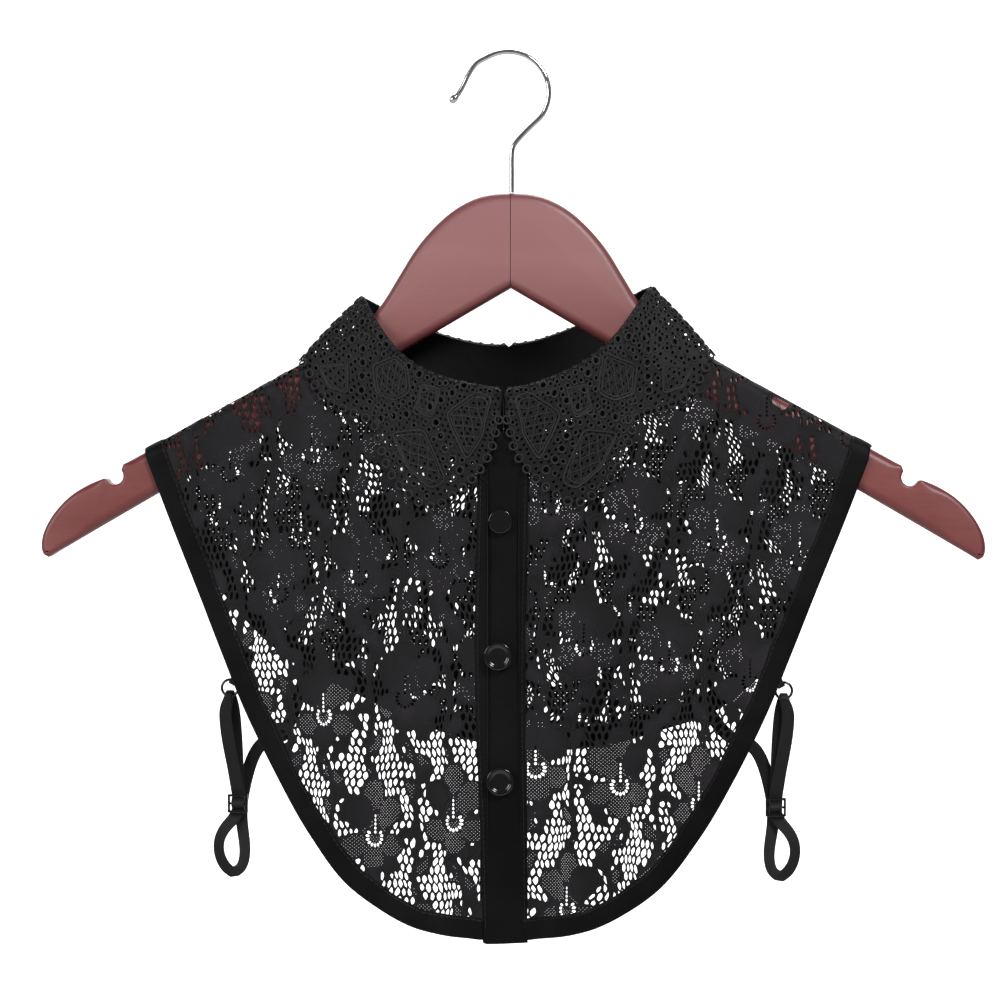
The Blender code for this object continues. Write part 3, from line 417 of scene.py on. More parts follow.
    def edge(self, face: Face, side: int) -> Array:
        """The outer edge of one half, from the centre to the shoulder, across and up."""
        rays = FRONT_RAYS if face is Face.FRONT else BACK_RAYS
        ray = np.linspace(0.0, LAST_FAN, 91)
        a, z = column(rays, ray, 5), column(rays, ray, 6)
        if face is Face.BACK:
            z = z + self.lean(face, side, ray)
        turned = np.linspace(0.0, 1.0, 8)[1:]
        a_turned = rays[9, 5] + (rays[10, 5] - rays[9, 5]) * turned
        start, end = self.wrap_start(side * a_turned), self.shoulder(side * a_turned)
        a = np.concatenate([a, a_turned])
        return np.stack([side * a, np.concatenate([z, start + (end - start) * turned])], axis=1)


DRAPE = Drape()


def inward(line: Array, side: int) -> Array:
    """Unit normals of a half's outer edge that point into the panel."""
    run = np.gradient(line, axis=0)
    out = np.stack([-run[:, 1], run[:, 0]], axis=1) * side
    return out / np.maximum(np.linalg.norm(out, axis=1, keepdims=True), 1e-9)


def deselect() -> None:
    """Leave nothing selected, so that an operator acts on the new piece alone."""
    for thing in bpy.context.view_layer.objects.selected:
        thing.select_set(False)


def take(piece: bpy.types.Object) -> None:
    """Make a piece the only one selected, and active."""
    deselect()
    piece.select_set(True)
    bpy.context.view_layer.objects.active = piece


def settle(piece: bpy.types.Object, smooth: float | None = 40.0) -> bpy.types.Object:
    """Put a piece's place into its mesh and shade it.

    Args:
        piece: The finished piece.
        smooth: The angle in degrees past which an edge stays sharp, or None for a flat look.

    Returns:
        The same piece.
    """
    take(piece)
    bpy.ops.object.transform_apply(location=True, rotation=True, scale=True)
    if smooth is not None:
        bpy.ops.object.shade_smooth_by_angle(angle=math.radians(smooth))
    return piece


class Pile:
    """Points and faces of many small shapes, gathered into one mesh."""

    def __init__(self) -> None:
        """Start with nothing."""
        self.points: list[Array] = []
        self.faces: list[Sequence[int]] = []
        self.chart: list[Array] = []
        self.filling: list[Array] = []
        self.count = 0

    def add(
        self,
        points: Array,
        faces: Iterable[Sequence[int]],
        chart: Array | None = None,
        filling: Array | float = 0.0,
    ) -> None:
        """Add one shape.

        Args:
            points: The shape's points in millimetres.
            faces: Its faces, as indices of these points.
            chart: A place on the cloth for each point, for the patterns of its material.
            filling: How solid the lace is at each point; on the hanger, the share of painted edge shade, and on
                the collar, the share of the cords' painted sheen against the ground's painted shade.
        """
        points = np.asarray(points, float).reshape(-1, 3)
        self.points.append(points)
        self.faces.extend(tuple(int(i) + self.count for i in face) for face in faces)
        self.chart.append(points[:, (0, 2)] if chart is None else np.asarray(chart, float))
        self.filling.append(np.broadcast_to(np.asarray(filling, float), (len(points),)))
        self.count += len(points)

    def tube(
        self,
        centres: Array,
        normals: Array,
        radius: Array | float,
        sides: int = 6,
        flatness: float = 1.0,
        closed: bool = False,
        filling: float = 1.0,
        chart: Array | None = None,
    ) -> None:
        """Add a cord.

        Args:
            centres: The line that the cord follows.
            normals: A direction at each centre that is across the cord.
            radius: Half the cord's width, one or a list.
            sides: How many sides its section has.
            flatness: Its height as a share of its width.
            closed: Whether it joins its own start.
            filling: How solid the lace is along it.
            chart: A place on the cloth for each centre.
        """
        count = len(centres)
        if closed:
            run = np.roll(centres, -1, axis=0) - np.roll(centres, 1, axis=0)
        else:
            run = np.gradient(centres, axis=0)
        run = run / np.maximum(np.linalg.norm(run, axis=1, keepdims=True), 1e-9)
        beside = np.cross(run, normals)
        beside = beside / np.maximum(np.linalg.norm(beside, axis=1, keepdims=True), 1e-9)
        high = np.cross(beside, run)
        turn = 2 * math.pi * (np.arange(sides) + 0.5) / sides
        radius = np.broadcast_to(np.asarray(radius, float), (count,))[:, None, None]
        offset = beside[:, None, :] * np.cos(turn)[None, :, None]
        offset = offset + high[:, None, :] * (np.sin(turn) * flatness)[None, :, None]
        points = (centres[:, None, :] + offset * radius).reshape(-1, 3)
        faces = []
        for i in range(count if closed else count - 1):
            here, there = i * sides, ((i + 1) % count) * sides
            for k in range(sides):
                n = (k + 1) % sides
                faces.append((here + k, here + n, there + n, there + k))
        if not closed:
            faces.append(tuple(range(sides))[::-1])
            faces.append(tuple((count - 1) * sides + k for k in range(sides)))
        places = None if chart is None else np.repeat(chart, sides, axis=0)
        self.add(points, faces, places, filling)

    def build(self, name: str, material: bpy.types.Material, smooth: float = 50.0) -> bpy.types.Object:
        """Make the mesh object.

        Args:
            name: The piece's name.
            material: Its material.
            smooth: The angle in degrees past which an edge stays sharp.

        Returns:
            The new object, at the origin, with its place in its mesh.
        """
        points = np.concatenate(self.points) * MM
        mesh = bpy.data.meshes.new(name)
        mesh.from_pydata(points.tolist(), [], self.faces)
        mesh.materials.append(material)
        corners = np.zeros(len(mesh.loops), np.int32)
        mesh.loops.foreach_get("vertex_index", corners)
        chart = np.concatenate(self.chart)
        layer = mesh.uv_layers.new(name="cloth")
        layer.data.foreach_set("uv", (chart[corners] * 0.01).astype(np.float32).ravel())
        filling = mesh.attributes.new("filling", "FLOAT", "POINT")
        filling.data.foreach_set("value", np.concatenate(self.filling).astype(np.float32))
        mesh.validate()
        mesh.update()
        piece = bpy.data.objects.new(name, mesh)
        bpy.context.scene.collection.objects.link(piece)
        return settle(piece, smooth)


def wall(inner: Array, outer: Array) -> tuple[Array, list[tuple[int, ...]]]:
    """Join two grids of points into a closed wall.

    Args:
        inner: Rows by columns by 3 numbers, the inner face.
        outer: The outer face, of the same shape.

    Returns:
        The wall's points and faces.
    """
    rows, columns = inner.shape[:2]
    count = rows * columns
    points = np.vstack([inner.reshape(-1, 3), outer.reshape(-1, 3)])
    faces = []
    for i in range(rows - 1):
        for j in range(columns - 1):
            a = i * columns + j
            faces.append((a, a + 1, a + 1 + columns, a + columns))
            faces.append((a + count, a + columns + count, a + 1 + columns + count, a + 1 + count))
    rim = list(range(columns)) + [i * columns + columns - 1 for i in range(1, rows)]
    rim += [(rows - 1) * columns + j for j in range(columns - 2, -1, -1)]
    rim += [i * columns for i in range(rows - 2, 0, -1)]
    for start, end in zip(rim, rim[1:] + rim[:1]):
        faces.append((end, start, start + count, end + count))
    return points, faces


def lofted(rings: Array, closed: bool = False) -> tuple[Array, list[tuple[int, ...]]]:
    """Join sections into a closed solid.

    Args:
        rings: Sections by points by 3 numbers.
        closed: Whether the last section joins the first.

    Returns:
        The solid's points and faces.
    """
    count, sides = rings.shape[:2]
    faces = []
    for i in range(count if closed else count - 1):
        here, there = i * sides, ((i + 1) % count) * sides
        for k in range(sides):
            n = (k + 1) % sides
            faces.append((here + k, here + n, there + n, there + k))
    if not closed:
        faces.append(tuple(range(sides))[::-1])
        faces.append(tuple((count - 1) * sides + k for k in range(sides)))
    return rings.reshape(-1, 3), faces


def turned_out(piece: bpy.types.Object) -> bpy.types.Object:
    """Turn all faces of a closed piece outwards."""
    take(piece)
    bpy.ops.object.mode_set(mode="EDIT")
    bpy.ops.mesh.select_all(action="SELECT")
    bpy.ops.mesh.normals_make_consistent(inside=False)
    bpy.ops.object.mode_set(mode="OBJECT")
    deselect()
    return piece


class Recipe:
    """One node material, put together socket by socket."""

    def __init__(self, name: str, **constants: float | Colour) -> None:
        """Start a Principled material.

        Args:
            name: The material's name.
            constants: Values of the shader's sockets, with spaces as underscores.
        """
        self.material = bpy.data.materials.new(name)
        self.material.use_nodes = True
        self.nodes = self.material.node_tree.nodes
        self.links = self.material.node_tree.links
        self.shader = self.nodes["Principled BSDF"]
        for key, value in constants.items():
            socket = self.shader.inputs[key.replace("_", " ")]
            socket.default_value = (*value, 1.0) if isinstance(value, tuple) else value

    def node(self, kind: str, inputs: dict[str | int, object], **settings: object) -> bpy.types.Node:
        """Add a node.

        Args:
            kind: The node's type without the words ShaderNode.
            inputs: Sockets to link from, or values, by input name or number.
            settings: Properties of the node.

        Returns:
            The new node.
        """
        made = self.nodes.new("ShaderNode" + kind)
        for key, value in settings.items():
            setattr(made, key, value)
        for key, value in inputs.items():
            if isinstance(value, Socket):
                self.links.new(value, made.inputs[key])
            else:
                made.inputs[key].default_value = value
        return made

    def place(self, scale: tuple[float, float, float] = (1.0, 1.0, 1.0), turn: float = 0.0) -> Socket:
        """Object coordinates, scaled and turned about Y."""
        source = self.node("TexCoord", {}).outputs["Object"]
        inputs = {"Vector": source, "Scale": scale, "Rotation": (0.0, turn, 0.0)}
        return self.node("Mapping", inputs).outputs[0]

    def chart(self, scale: float = 1.0, turn: float = 0.0) -> Socket:
        """Places on the cloth in millimetres, scaled and turned."""
        source = self.node("UVMap", {}, uv_map="cloth").outputs[0]
        size = 100.0 * scale
        inputs = {"Vector": source, "Scale": (size, size, size), "Rotation": (0.0, 0.0, turn)}
        return self.node("Mapping", inputs).outputs[0]

    def noise(self, vector: Socket, scale: float, detail: float = 3.0, rough: float = 0.5) -> Socket:
        """A noise between 0 and 1."""
        inputs = {"Vector": vector, "Scale": scale, "Detail": detail, "Roughness": rough}
        return self.node("TexNoise", inputs).outputs[0]

    def wave(self, vector: Socket, scale: float, distortion: float = 0.0, axis: str = "X") -> Socket:
        """Even bands between 0 and 1."""
        inputs = {"Vector": vector, "Scale": scale, "Distortion": distortion, "Detail": 1.0}
        return self.node("TexWave", inputs, bands_direction=axis).outputs["Fac"]

    def math(self, how: str, first: object, second: object = 0.0) -> Socket:
        """One arithmetic step."""
        return self.node("Math", {0: first, 1: second}, operation=how).outputs[0]

    def ramp(self, value: Socket, low: float, high: float, start: float = 0.0, end: float = 1.0) -> Socket:
        """Map a value's range from low and high to start and end."""
        inputs = {"Value": value, "From Min": low, "From Max": high, "To Min": start, "To Max": end}
        return self.node("MapRange", inputs).outputs[0]

    def blend(self, share: object, first: object, second: object) -> Socket:
        """Mix two colours."""
        made = self.nodes.new("ShaderNodeMix")
        made.data_type = "RGBA"
        for key, value in ((0, share), (6, first), (7, second)):
            if isinstance(value, Socket):
                self.links.new(value, made.inputs[key])
            elif isinstance(value, tuple):
                made.inputs[key].default_value = (*value, 1.0)
            else:
                made.inputs[key].default_value = value
        return made.outputs[2]

    def attribute(self, name: str) -> Socket:
        """A value that the mesh carries."""
        return self.node("Attribute", {}, attribute_name=name).outputs["Fac"]

    def bump(self, height: Socket, strength: float, distance: float, under: Socket | None = None) -> Socket:
        """A normal with relief, distance in millimetres."""
        inputs: dict[str | int, object] = {"Height": height, "Strength": strength, "Distance": distance * MM}
        if under is not None:
            inputs["Normal"] = under
        return self.node("Bump", inputs).outputs[0]

    def finish(self, **sockets: Socket) -> bpy.types.Material:
        """Link the shader's sockets and return the material."""
        for key, value in sockets.items():
            self.links.new(value, self.shader.inputs[key.replace("_", " ")])
        return self.material


@dataclass(frozen=True)
class LaceFinish:
    """Black raschel lace: matt thread net, fine mesh and satin-like solid work, with the solid work's sheen
    painted into its colour and the fine mesh's at about half.
    """

    thread: Colour = (0.0060, 0.0054, 0.0062)
    # painted sheen: the solid work's lighter colour stands in for the sheen of its dense stitches
    solid: Colour = (0.0150, 0.0130, 0.0162)
    thread_pitch: float = 0.34
    roughness: float = 0.62

    def material(self) -> bpy.types.Material:
        """Build the material."""
        mix = Recipe("floral_lace", Sheen_Weight=0.03, Sheen_Roughness=0.45, Specular_IOR_Level=0.14)
        cloth = mix.chart()
        filling = mix.attribute("filling")
        worked = mix.ramp(filling, 0.1, 0.95)
        patches = mix.noise(mix.place(), 60.0, 2.0)
        patches = mix.ramp(patches, 0.3, 0.7, 0.45, 1.0)
        # solid work takes the painted sheen colour and fine mesh about half of it, varied in random patches
        colour = mix.blend(mix.math("MULTIPLY", worked, patches), self.thread, self.solid)
        first = mix.wave(mix.chart(turn=math.radians(38)), 3.14 / self.thread_pitch / 10)
        second = mix.wave(mix.chart(turn=math.radians(-38)), 3.14 / self.thread_pitch / 10)
        weave = mix.math("MAXIMUM", first, second)
        fibre = mix.noise(cloth, 9.0, 4.0)
        relief = mix.bump(weave, 0.5, 0.12)
        relief = mix.bump(fibre, 0.25, 0.06, relief)
        rough = mix.ramp(weave, 0.0, 1.0, self.roughness + 0.12, self.roughness - 0.08)
        return mix.finish(Base_Color=colour, Roughness=rough, Normal=relief)


@dataclass(frozen=True)
class GuipureFinish:
    """Black corded guipure: satin-stitched cords with fine ribs across them, the cords partly lit by painted
    sheen and the ground between them darkened by painted shade.
    """

    # the cords' colour: their thread's own tone raised by painted sheen
    cord: Colour = (0.0175, 0.0170, 0.0180)
    # painted shade: the dark colour of the ground that lies set back between the cords
    ground_shade: Colour = (0.0035, 0.0033, 0.0037)

    def material(self) -> bpy.types.Material:
        """Build the material."""
        mix = Recipe("guipure", Sheen_Weight=0.03, Sheen_Roughness=0.4, Specular_IOR_Level=0.16)
        share = mix.attribute("filling")
        # the ground, with a filling near 0, takes the painted shade and the cords take the painted sheen
        colour = mix.blend(share, self.ground_shade, self.cord)
        stitch = mix.noise(mix.chart(), 3.2, 3.0)
        fine = mix.noise(mix.place(), 2600.0, 2.0)
        relief = mix.bump(stitch, 0.35, 0.15)
        relief = mix.bump(fine, 0.4, 0.08, relief)
        rough = mix.ramp(stitch, 0.3, 0.7, 0.5, 0.72)
        return mix.finish(Base_Color=colour, Roughness=rough, Normal=relief)


@dataclass(frozen=True)
class SatinFinish:
    """Black matt satin, with its fine twill, faint cloudiness and puckers along the seams."""

    name: str = "satin"
    colour: Colour = (0.0016, 0.0016, 0.0019)
    worn: Colour = (0.0036, 0.0035, 0.0040)
    weave_pitch: float = 0.42
    pucker: float = 0.25

    def material(self) -> bpy.types.Material:
        """Build the material."""
        mix = Recipe(self.name, Sheen_Weight=0.01, Sheen_Roughness=0.5, Specular_IOR_Level=0.08)
        clouds = mix.noise(mix.place(), 26.0, 3.0)
        colour = mix.blend(mix.ramp(clouds, 0.35, 0.7), self.colour, self.worn)
        twill = mix.wave(mix.chart(turn=math.radians(30)), 0.314 / self.weave_pitch, 0.4)
        across = mix.wave(mix.chart(turn=math.radians(-60)), 0.157 / self.weave_pitch, 0.2)
        cloth = mix.math("ADD", twill, mix.math("MULTIPLY", across, 0.5))
        soft = mix.noise(mix.chart(), 0.22, 2.0)
        relief = mix.bump(soft, 0.6, self.pucker)
        relief = mix.bump(cloth, 0.35, 0.05, relief)
        rough = mix.ramp(clouds, 0.3, 0.7, 0.5, 0.62)
        return mix.finish(Base_Color=colour, Roughness=rough, Normal=relief)


@dataclass(frozen=True)
class ElasticFinish:
    """Black woven elastic with ribs along its length."""

    colour: Colour = (0.0060, 0.0058, 0.0064)
    rib_pitch: float = 0.55

    def material(self) -> bpy.types.Material:
        """Build the material."""
        mix = Recipe("elastic", Sheen_Weight=0.04, Sheen_Roughness=0.4, Specular_IOR_Level=0.2)
        ribs = mix.wave(mix.place(turn=0.2), 314.0 / self.rib_pitch, 1.0)
        weft = mix.wave(mix.place(turn=0.2), 314.0 / 0.7, 1.0, "Z")
        cloth = mix.math("ADD", mix.math("MULTIPLY", ribs, 0.8), mix.math("MULTIPLY", weft, 0.5))
        colour = mix.blend(ribs, (0.004, 0.004, 0.0042), self.colour)
        relief = mix.bump(cloth, 0.6, 0.1)
        rough = mix.ramp(cloth, 0.0, 1.3, 0.62, 0.42)
        return mix.finish(Base_Color=colour, Roughness=rough, Normal=relief)


@dataclass(frozen=True)
class WoodFinish:
    """Mahogany-stained wood under a satin lacquer, with painted shade making it darker and redder along its
    rounded edges and a painted highlight making it paler towards the top.
    """

    light: Colour = (0.165, 0.046, 0.042)
    dark: Colour = (0.118, 0.025, 0.024)
    # painted shade: dark red for the rounded edges, which turn away from the light
    edge: Colour = (0.092, 0.0028, 0.0062)
    pore: Colour = (0.060, 0.011, 0.011)
    # painted highlight: a paler tone for the top of the hanger, where the light falls on it
    top_highlight: Colour = (0.300, 0.160, 0.160)
    top_highlight_heights: tuple[float, float] = (-0.16, -0.10)

    def material(self) -> bpy.types.Material:
        """Build the material."""
        mix = Recipe("hanger_wood", Coat_Weight=0.22, Coat_Roughness=0.42, Specular_IOR_Level=0.36)
        grain = mix.noise(mix.place((14.0, 60.0, 190.0), math.radians(8)), 3.0, 6.0, 0.6)
        bands = mix.noise(mix.place((5.0, 12.0, 40.0), math.radians(8)), 1.4, 3.0)
        pores = mix.noise(mix.place((60.0, 300.0, 900.0), math.radians(8)), 2.0, 2.0)
        colour = mix.blend(mix.ramp(bands, 0.3, 0.7), self.dark, self.light)
        colour = mix.blend(mix.ramp(grain, 0.45, 0.75, 0.0, 0.35), colour, self.dark)
        colour = mix.blend(mix.ramp(pores, 0.62, 0.78, 0.0, 0.4), colour, self.pore)
        # painted highlight, paler towards the top: none below the lower height, half at the upper one and above
        height = mix.node("SeparateXYZ", {0: mix.place()}).outputs[2]
        colour = mix.blend(mix.ramp(height, *self.top_highlight_heights, 0.0, 0.5), colour, self.top_highlight)
        # painted shade along the rounded edges, by the share that the arm carries in filling
        colour = mix.blend(mix.attribute("filling"), colour, self.edge)
        relief = mix.bump(grain, 0.12, 0.15)
        uneven = mix.noise(mix.place(), 90.0, 2.0)
        relief = mix.bump(uneven, 0.08, 0.3, relief)
        rough = mix.ramp(grain, 0.3, 0.8, 0.42, 0.54)
        return mix.finish(Base_Color=colour, Roughness=rough, Normal=relief)


@dataclass(frozen=True)
class WireFinish:
    """Bright plated wire with faint drawing marks."""

    colour: Colour = (0.60, 0.60, 0.61)

    def material(self) -> bpy.types.Material:
        """Build the material."""
        mix = Recipe("hook_wire", Metallic=1.0, Specular_IOR_Level=0.5)
        marks = mix.noise(mix.place(), 700.0, 3.0)
        stains = mix.noise(mix.place(), 120.0, 2.0)
        colour = mix.blend(mix.ramp(stains, 0.35, 0.75), self.colour, (0.48, 0.48, 0.50))
        rough = mix.ramp(marks, 0.3, 0.7, 0.08, 0.2)
        relief = mix.bump(marks, 0.08, 0.03)
        return mix.finish(Base_Color=colour, Roughness=rough, Normal=relief)


@dataclass(frozen=True)
class GlossFinish:
    """Gloss black plastic, with the light scratches that such small parts have."""

    name: str
    colour: Colour = (0.0035, 0.0035, 0.0037)
    roughness: float = 0.07

    def material(self) -> bpy.types.Material:
        """Build the material."""
        mix = Recipe(self.name, Specular_IOR_Level=0.5)
        dust = mix.noise(mix.place(), 900.0, 3.0)
        scratches = mix.noise(mix.place((900.0, 900.0, 90.0), 0.6), 1.0, 2.0)
        rough = mix.ramp(dust, 0.4, 0.75, self.roughness, self.roughness + 0.12)
        relief = mix.bump(scratches, 0.05, 0.02)
        colour = mix.blend(mix.ramp(dust, 0.5, 0.8), self.colour, (0.005, 0.005, 0.0053))
        return mix.finish(Base_Color=colour, Roughness=rough, Normal=relief)


@dataclass(frozen=True)
class ThreadFinish:
    """Black sewing thread with its ply."""

    colour: Colour = (0.0100, 0.0096, 0.0104)

    def material(self) -> bpy.types.Material:
        """Build the material."""
        mix = Recipe("sewing_thread", Sheen_Weight=0.05, Specular_IOR_Level=0.2)
        ply = mix.noise(mix.place(), 2600.0, 1.0)
        colour = mix.blend(ply, (0.004, 0.004, 0.0042), self.colour)
        relief = mix.bump(ply, 0.5, 0.08)
        rough = mix.ramp(ply, 0.3, 0.7, 0.6, 0.42)
        return mix.finish(Base_Color=colour, Roughness=rough, Normal=relief)


@dataclass(frozen=True)
class Motif:
    """One closed outline of the lace's pattern."""

    outline: Array
    filling: Filling

    @property
    def centre(self) -> Array:
        """The middle of the outline's points."""
        return self.outline.mean(axis=0)

    @property
    def reach(self) -> float:
        """The furthest that the outline goes from its centre."""
        return float(np.linalg.norm(self.outline - self.centre, axis=1).max())

    def distance(self, points: Array) -> Array:
        """Distance of points from the outline, negative inside it."""
        start = self.outline
        run = np.roll(start, -1, axis=0) - start
        away = points[:, None, :] - start[None]
        share = np.clip((away * run).sum(-1) / np.maximum((run * run).sum(-1), 1e-9), 0.0, 1.0)
        near = np.linalg.norm(away - share[..., None] * run[None], axis=-1).min(axis=1)
        x, y = points[:, 0:1], points[:, 1:2]
        y0, y1 = start[:, 1], start[:, 1] + run[:, 1]
        spans = (y0 > y) != (y1 > y)
        cross = start[:, 0] + (y - y0) * run[:, 0] / np.where(run[:, 1] == 0, 1e-9, run[:, 1])
        inside = (spans & (x < cross)).sum(axis=1) % 2 == 1
        return np.where(inside, -near, near)


def turned(x: Array, y: Array, degrees: float, o: float, z: float) -> Array:
    """Turn an outline about its own origin and move that to a place."""
    cosine, sine = math.cos(math.radians(degrees)), math.sin(math.radians(degrees))
    return np.stack([o + x * cosine - y * sine, z + x * sine + y * cosine], axis=1)


def oval(o: float, z: float, half_width: float, half_length: float, turn: float, count: int = 18) -> Array:
    """An egg-shaped outline, wider at its outer end, turned by degrees from upright."""
    angle = 2 * math.pi * np.arange(count) / count
    x = half_width * np.sin(angle) * (1.0 + 0.14 * np.cos(angle))
    y = half_length * np.cos(angle)
    return turned(x, y, -turn, o, z)


def blade(o: float, z: float, turn: float, length: float, width: float, bow: float = 0.12) -> Array:
    """A leaf's outline from its foot, pointing at a turn in degrees from the right."""
    share = np.array([0.0, 0.1, 0.25, 0.42, 0.6, 0.76, 0.9, 1.0])
    half = np.array([0.12, 0.5, 0.85, 1.0, 0.9, 0.62, 0.28, 0.04]) * width / 2
    middle = bow * length * np.sin(math.pi * share)
    x = np.concatenate([share, share[::-1]]) * length
    y = np.concatenate([middle + half, (middle - half)[::-1]])
    return turned(x, y, turn, o, z)


def curl(o: float, z: float, radius: float, start: float, end: float, width: float) -> Array:
    """A crescent's outline between two turns in degrees, thickest near its start."""
    turn = np.radians(np.linspace(start, end, 12))
    share = np.linspace(0.0, 1.0, 12)
    half = width / 2 * np.sqrt(np.clip(np.sin(math.pi * (0.06 + 0.9 * share**0.8)), 0.04, 1.0))
    outer = np.stack([(radius + half) * np.cos(turn), (radius + half) * np.sin(turn)], axis=1)
    inner = np.stack([(radius - half) * np.cos(turn), (radius - half) * np.sin(turn)], axis=1)
    return np.vstack([outer, inner[::-1]]) + (o, z)


def stem(points: Sequence[tuple[float, float]], width: float) -> Array:
    """A stem's outline along a smooth line."""
    line = smooth_line(np.array(points), 4)
    run = np.gradient(line, axis=0)
    beside = np.stack([-run[:, 1], run[:, 0]], axis=1)
    beside = beside / np.linalg.norm(beside, axis=1, keepdims=True) * width / 2
    return np.vstack([line + beside, (line - beside)[::-1]])


@dataclass(frozen=True)
class LacePattern:
    """The lace's own pattern: flowers in slanting rows, with leaves, curls and stems between them."""

    origin: tuple[float, float]
    side: int
    along: tuple[float, float] = (38.6, -8.5)
    upward: tuple[float, float] = (23.0, 57.0)
    cell_pitch: tuple[float, float] = (2.6, 3.95)
    cell_half: tuple[float, float] = (0.90, 2.2)
    mesh_pitch: float = 1.62
    mesh_half: float = 0.17
    strand: float = 0.40
    least_hole: float = 0.6
    slot_radius: float = 3.9
    slot_half: tuple[float, float] = (1.0, 0.6)
    petals: tuple[tuple[float, float, float, float, float, Filling], ...] = (
        # outward, up, half width, half length, turn, filling
        (0.3, 19.8, 5.4, 7.6, 0.0, Filling.MESH),
        (7.6, 11.8, 6.0, 7.8, 22.0, Filling.SOLID),
        (8.4, -3.8, 5.6, 6.2, 118.0, Filling.MESH),
        (0.2, -9.2, 6.0, 6.0, 180.0, Filling.MESH),
        (-8.4, -3.6, 5.4, 6.0, -118.0, Filling.MESH),
        (-7.4, 11.6, 5.8, 7.6, -22.0, Filling.MESH),
        (0.0, 3.6, 6.4, 8.6, 0.0, Filling.MESH),
    )

    def sprays(self) -> list[tuple[Array, Filling]]:
        """The leaves, curls and stems of one repeat, beside its flower."""
        return [
            (stem(((16.6, -36.0), (19.4, -27.0), (18.2, -15.0), (17.4, -4.0), (19.2, 8.0)), 1.2), Filling.SOLID),
            (stem(((19.2, 8.0), (17.8, 20.0), (19.5, 32.0), (23.0, 40.0)), 1.1), Filling.SOLID),
            (blade(19.0, -26.0, 118.0, 12.0, 4.8), Filling.MESH),
            (curl(21.4, -9.0, 3.8, -70.0, 190.0, 2.7), Filling.SOLID),
            (blade(18.8, 9.0, 64.0, 11.0, 5.4), Filling.MESH),
            (blade(18.0, 17.0, 112.0, 10.5, 4.8), Filling.SOLID),
            (curl(24.2, 33.0, 3.4, 60.0, 290.0, 2.4), Filling.MESH),
            (blade(1.2, 28.0, 60.0, 7.5, 3.6), Filling.MESH),
            (blade(0.2, -15.0, -74.0, 11.0, 4.4), Filling.SOLID),
            (blade(13.0, 25.0, 28.0, 11.0, 5.0), Filling.MESH),
            (blade(26.5, -20.0, -50.0, 9.5, 4.6), Filling.SOLID),
        ]

    def flowers(self, box: tuple[float, float, float, float]) -> list[Array]:
        """The flowers' ring centres whose repeat comes near a box of least and most across and up."""
        found = []
        for i in range(-9, 10):
            for j in range(-9, 10):
                out = self.origin[0] + i * self.along[0] + j * self.upward[0]
                up = self.origin[1] + i * self.along[1] + j * self.upward[1]
                across = self.side * out
                if box[0] - 45 < across < box[1] + 45 and box[2] - 45 < up < box[3] + 45:
                    found.append(np.array([across, up]))
        return found

    def motifs(self, flowers: list[Array]) -> list[Motif]:
        """Every outline near the panel."""
        found = []
        mirror = np.array([self.side, 1.0])
        sprays = self.sprays()
        for number, flower in enumerate(flowers):
            for k, (o, z, half_width, half_length, turn, filling) in enumerate(self.petals):
                kind = filling
                if number % 3 == 1 and k in (0, 3):
                    kind = Filling.SOLID
                found.append(Motif(oval(o, z, half_width, half_length, turn) * mirror + flower, kind))
            found += [Motif(outline * mirror + flower, filling) for outline, filling in sprays]
        return found

    def slots(self, flower: Array) -> list[Array]:
        """The open eyes round a flower's ring, and the short row above it."""
        found = []
        for degrees in np.linspace(-215.0, 35.0, 11):
            turn = math.radians(degrees)
            out = np.array([math.cos(turn), math.sin(turn)])
            beside = np.array([-out[1], out[0]])
            centre = flower + out * self.slot_radius
            found.append(self.eye(centre, out * self.slot_half[0], beside * self.slot_half[1]))
        for step in range(5):
            centre = flower + (0.0, 2.4 + 1.9 * step)
            half = 0.62 - 0.05 * step
            found.append(self.eye(centre, np.array([0.0, 0.78]), np.array([half, 0.0])))
        return found

    @staticmethod
    def eye(centre: Array, long: Array, wide: Array) -> Array:
        """A rounded hole of six points."""
        return np.array(
            [centre + long, centre + long * 0.45 + wide, centre - long * 0.45 + wide]
            + [centre - long, centre - long * 0.45 - wide, centre + long * 0.45 - wide]
        )


def slack(points: Array) -> Array:
    """Pull the net out of true, as hanging cloth does."""
    x, z = points[:, 0], points[:, 1]
    shift_x = 0.9 * np.sin(z / 4.9 + 1.3 * np.sin(x / 7.5)) + 0.5 * np.sin((x + z) / 3.1)
    shift_z = 0.8 * np.sin(x / 4.3 + 0.8 * np.sin(z / 9.0))
    shift_x += 0.15 * np.sin(1.3 * x + 0.9 * z) + 0.07 * np.sin(2.3 * z - 0.8 * x + 1.0)
    shift_z += 0.14 * np.sin(1.1 * x + 0.35 * z) + 0.08 * np.sin(0.9 * z + 2.1 * x)
    return points + np.stack([shift_x, shift_z], axis=1)


def gathered(points: Array, face: Face) -> Array:
    """Draw the cloth together along its folds, where it turns away from the viewer."""
    x, z = points[:, 0].copy(), points[:, 1]
    for name, side, top_a, top_z, low_a, low_z, height, half_width in FOLDS:
        if name is not face:
            continue
        along = (top_z - z) / (top_z - low_z)
        centre = side * (top_a + (low_a - top_a) * along)
        off = x - centre
        pull = 0.3 * abs(height) / 3.0 * ease(along / 0.45)
        x = x - pull * off * np.exp(-((off / half_width) ** 2))
    return np.stack([x, z], axis=1)


def nearest(points: Array, motifs: list[Motif], wanted: Callable[[Motif], bool], far: float = 3.0) -> Array:
    """Distance to the nearest of some outlines, negative inside one, and far where none is near."""
    best = np.full(len(points), far)
    for motif in motifs:
        if not wanted(motif):
            continue
        close = np.linalg.norm(points - motif.centre, axis=1) < motif.reach + far
        if close.any():
            best[close] = np.minimum(best[close], motif.distance(points[close]))
    return best


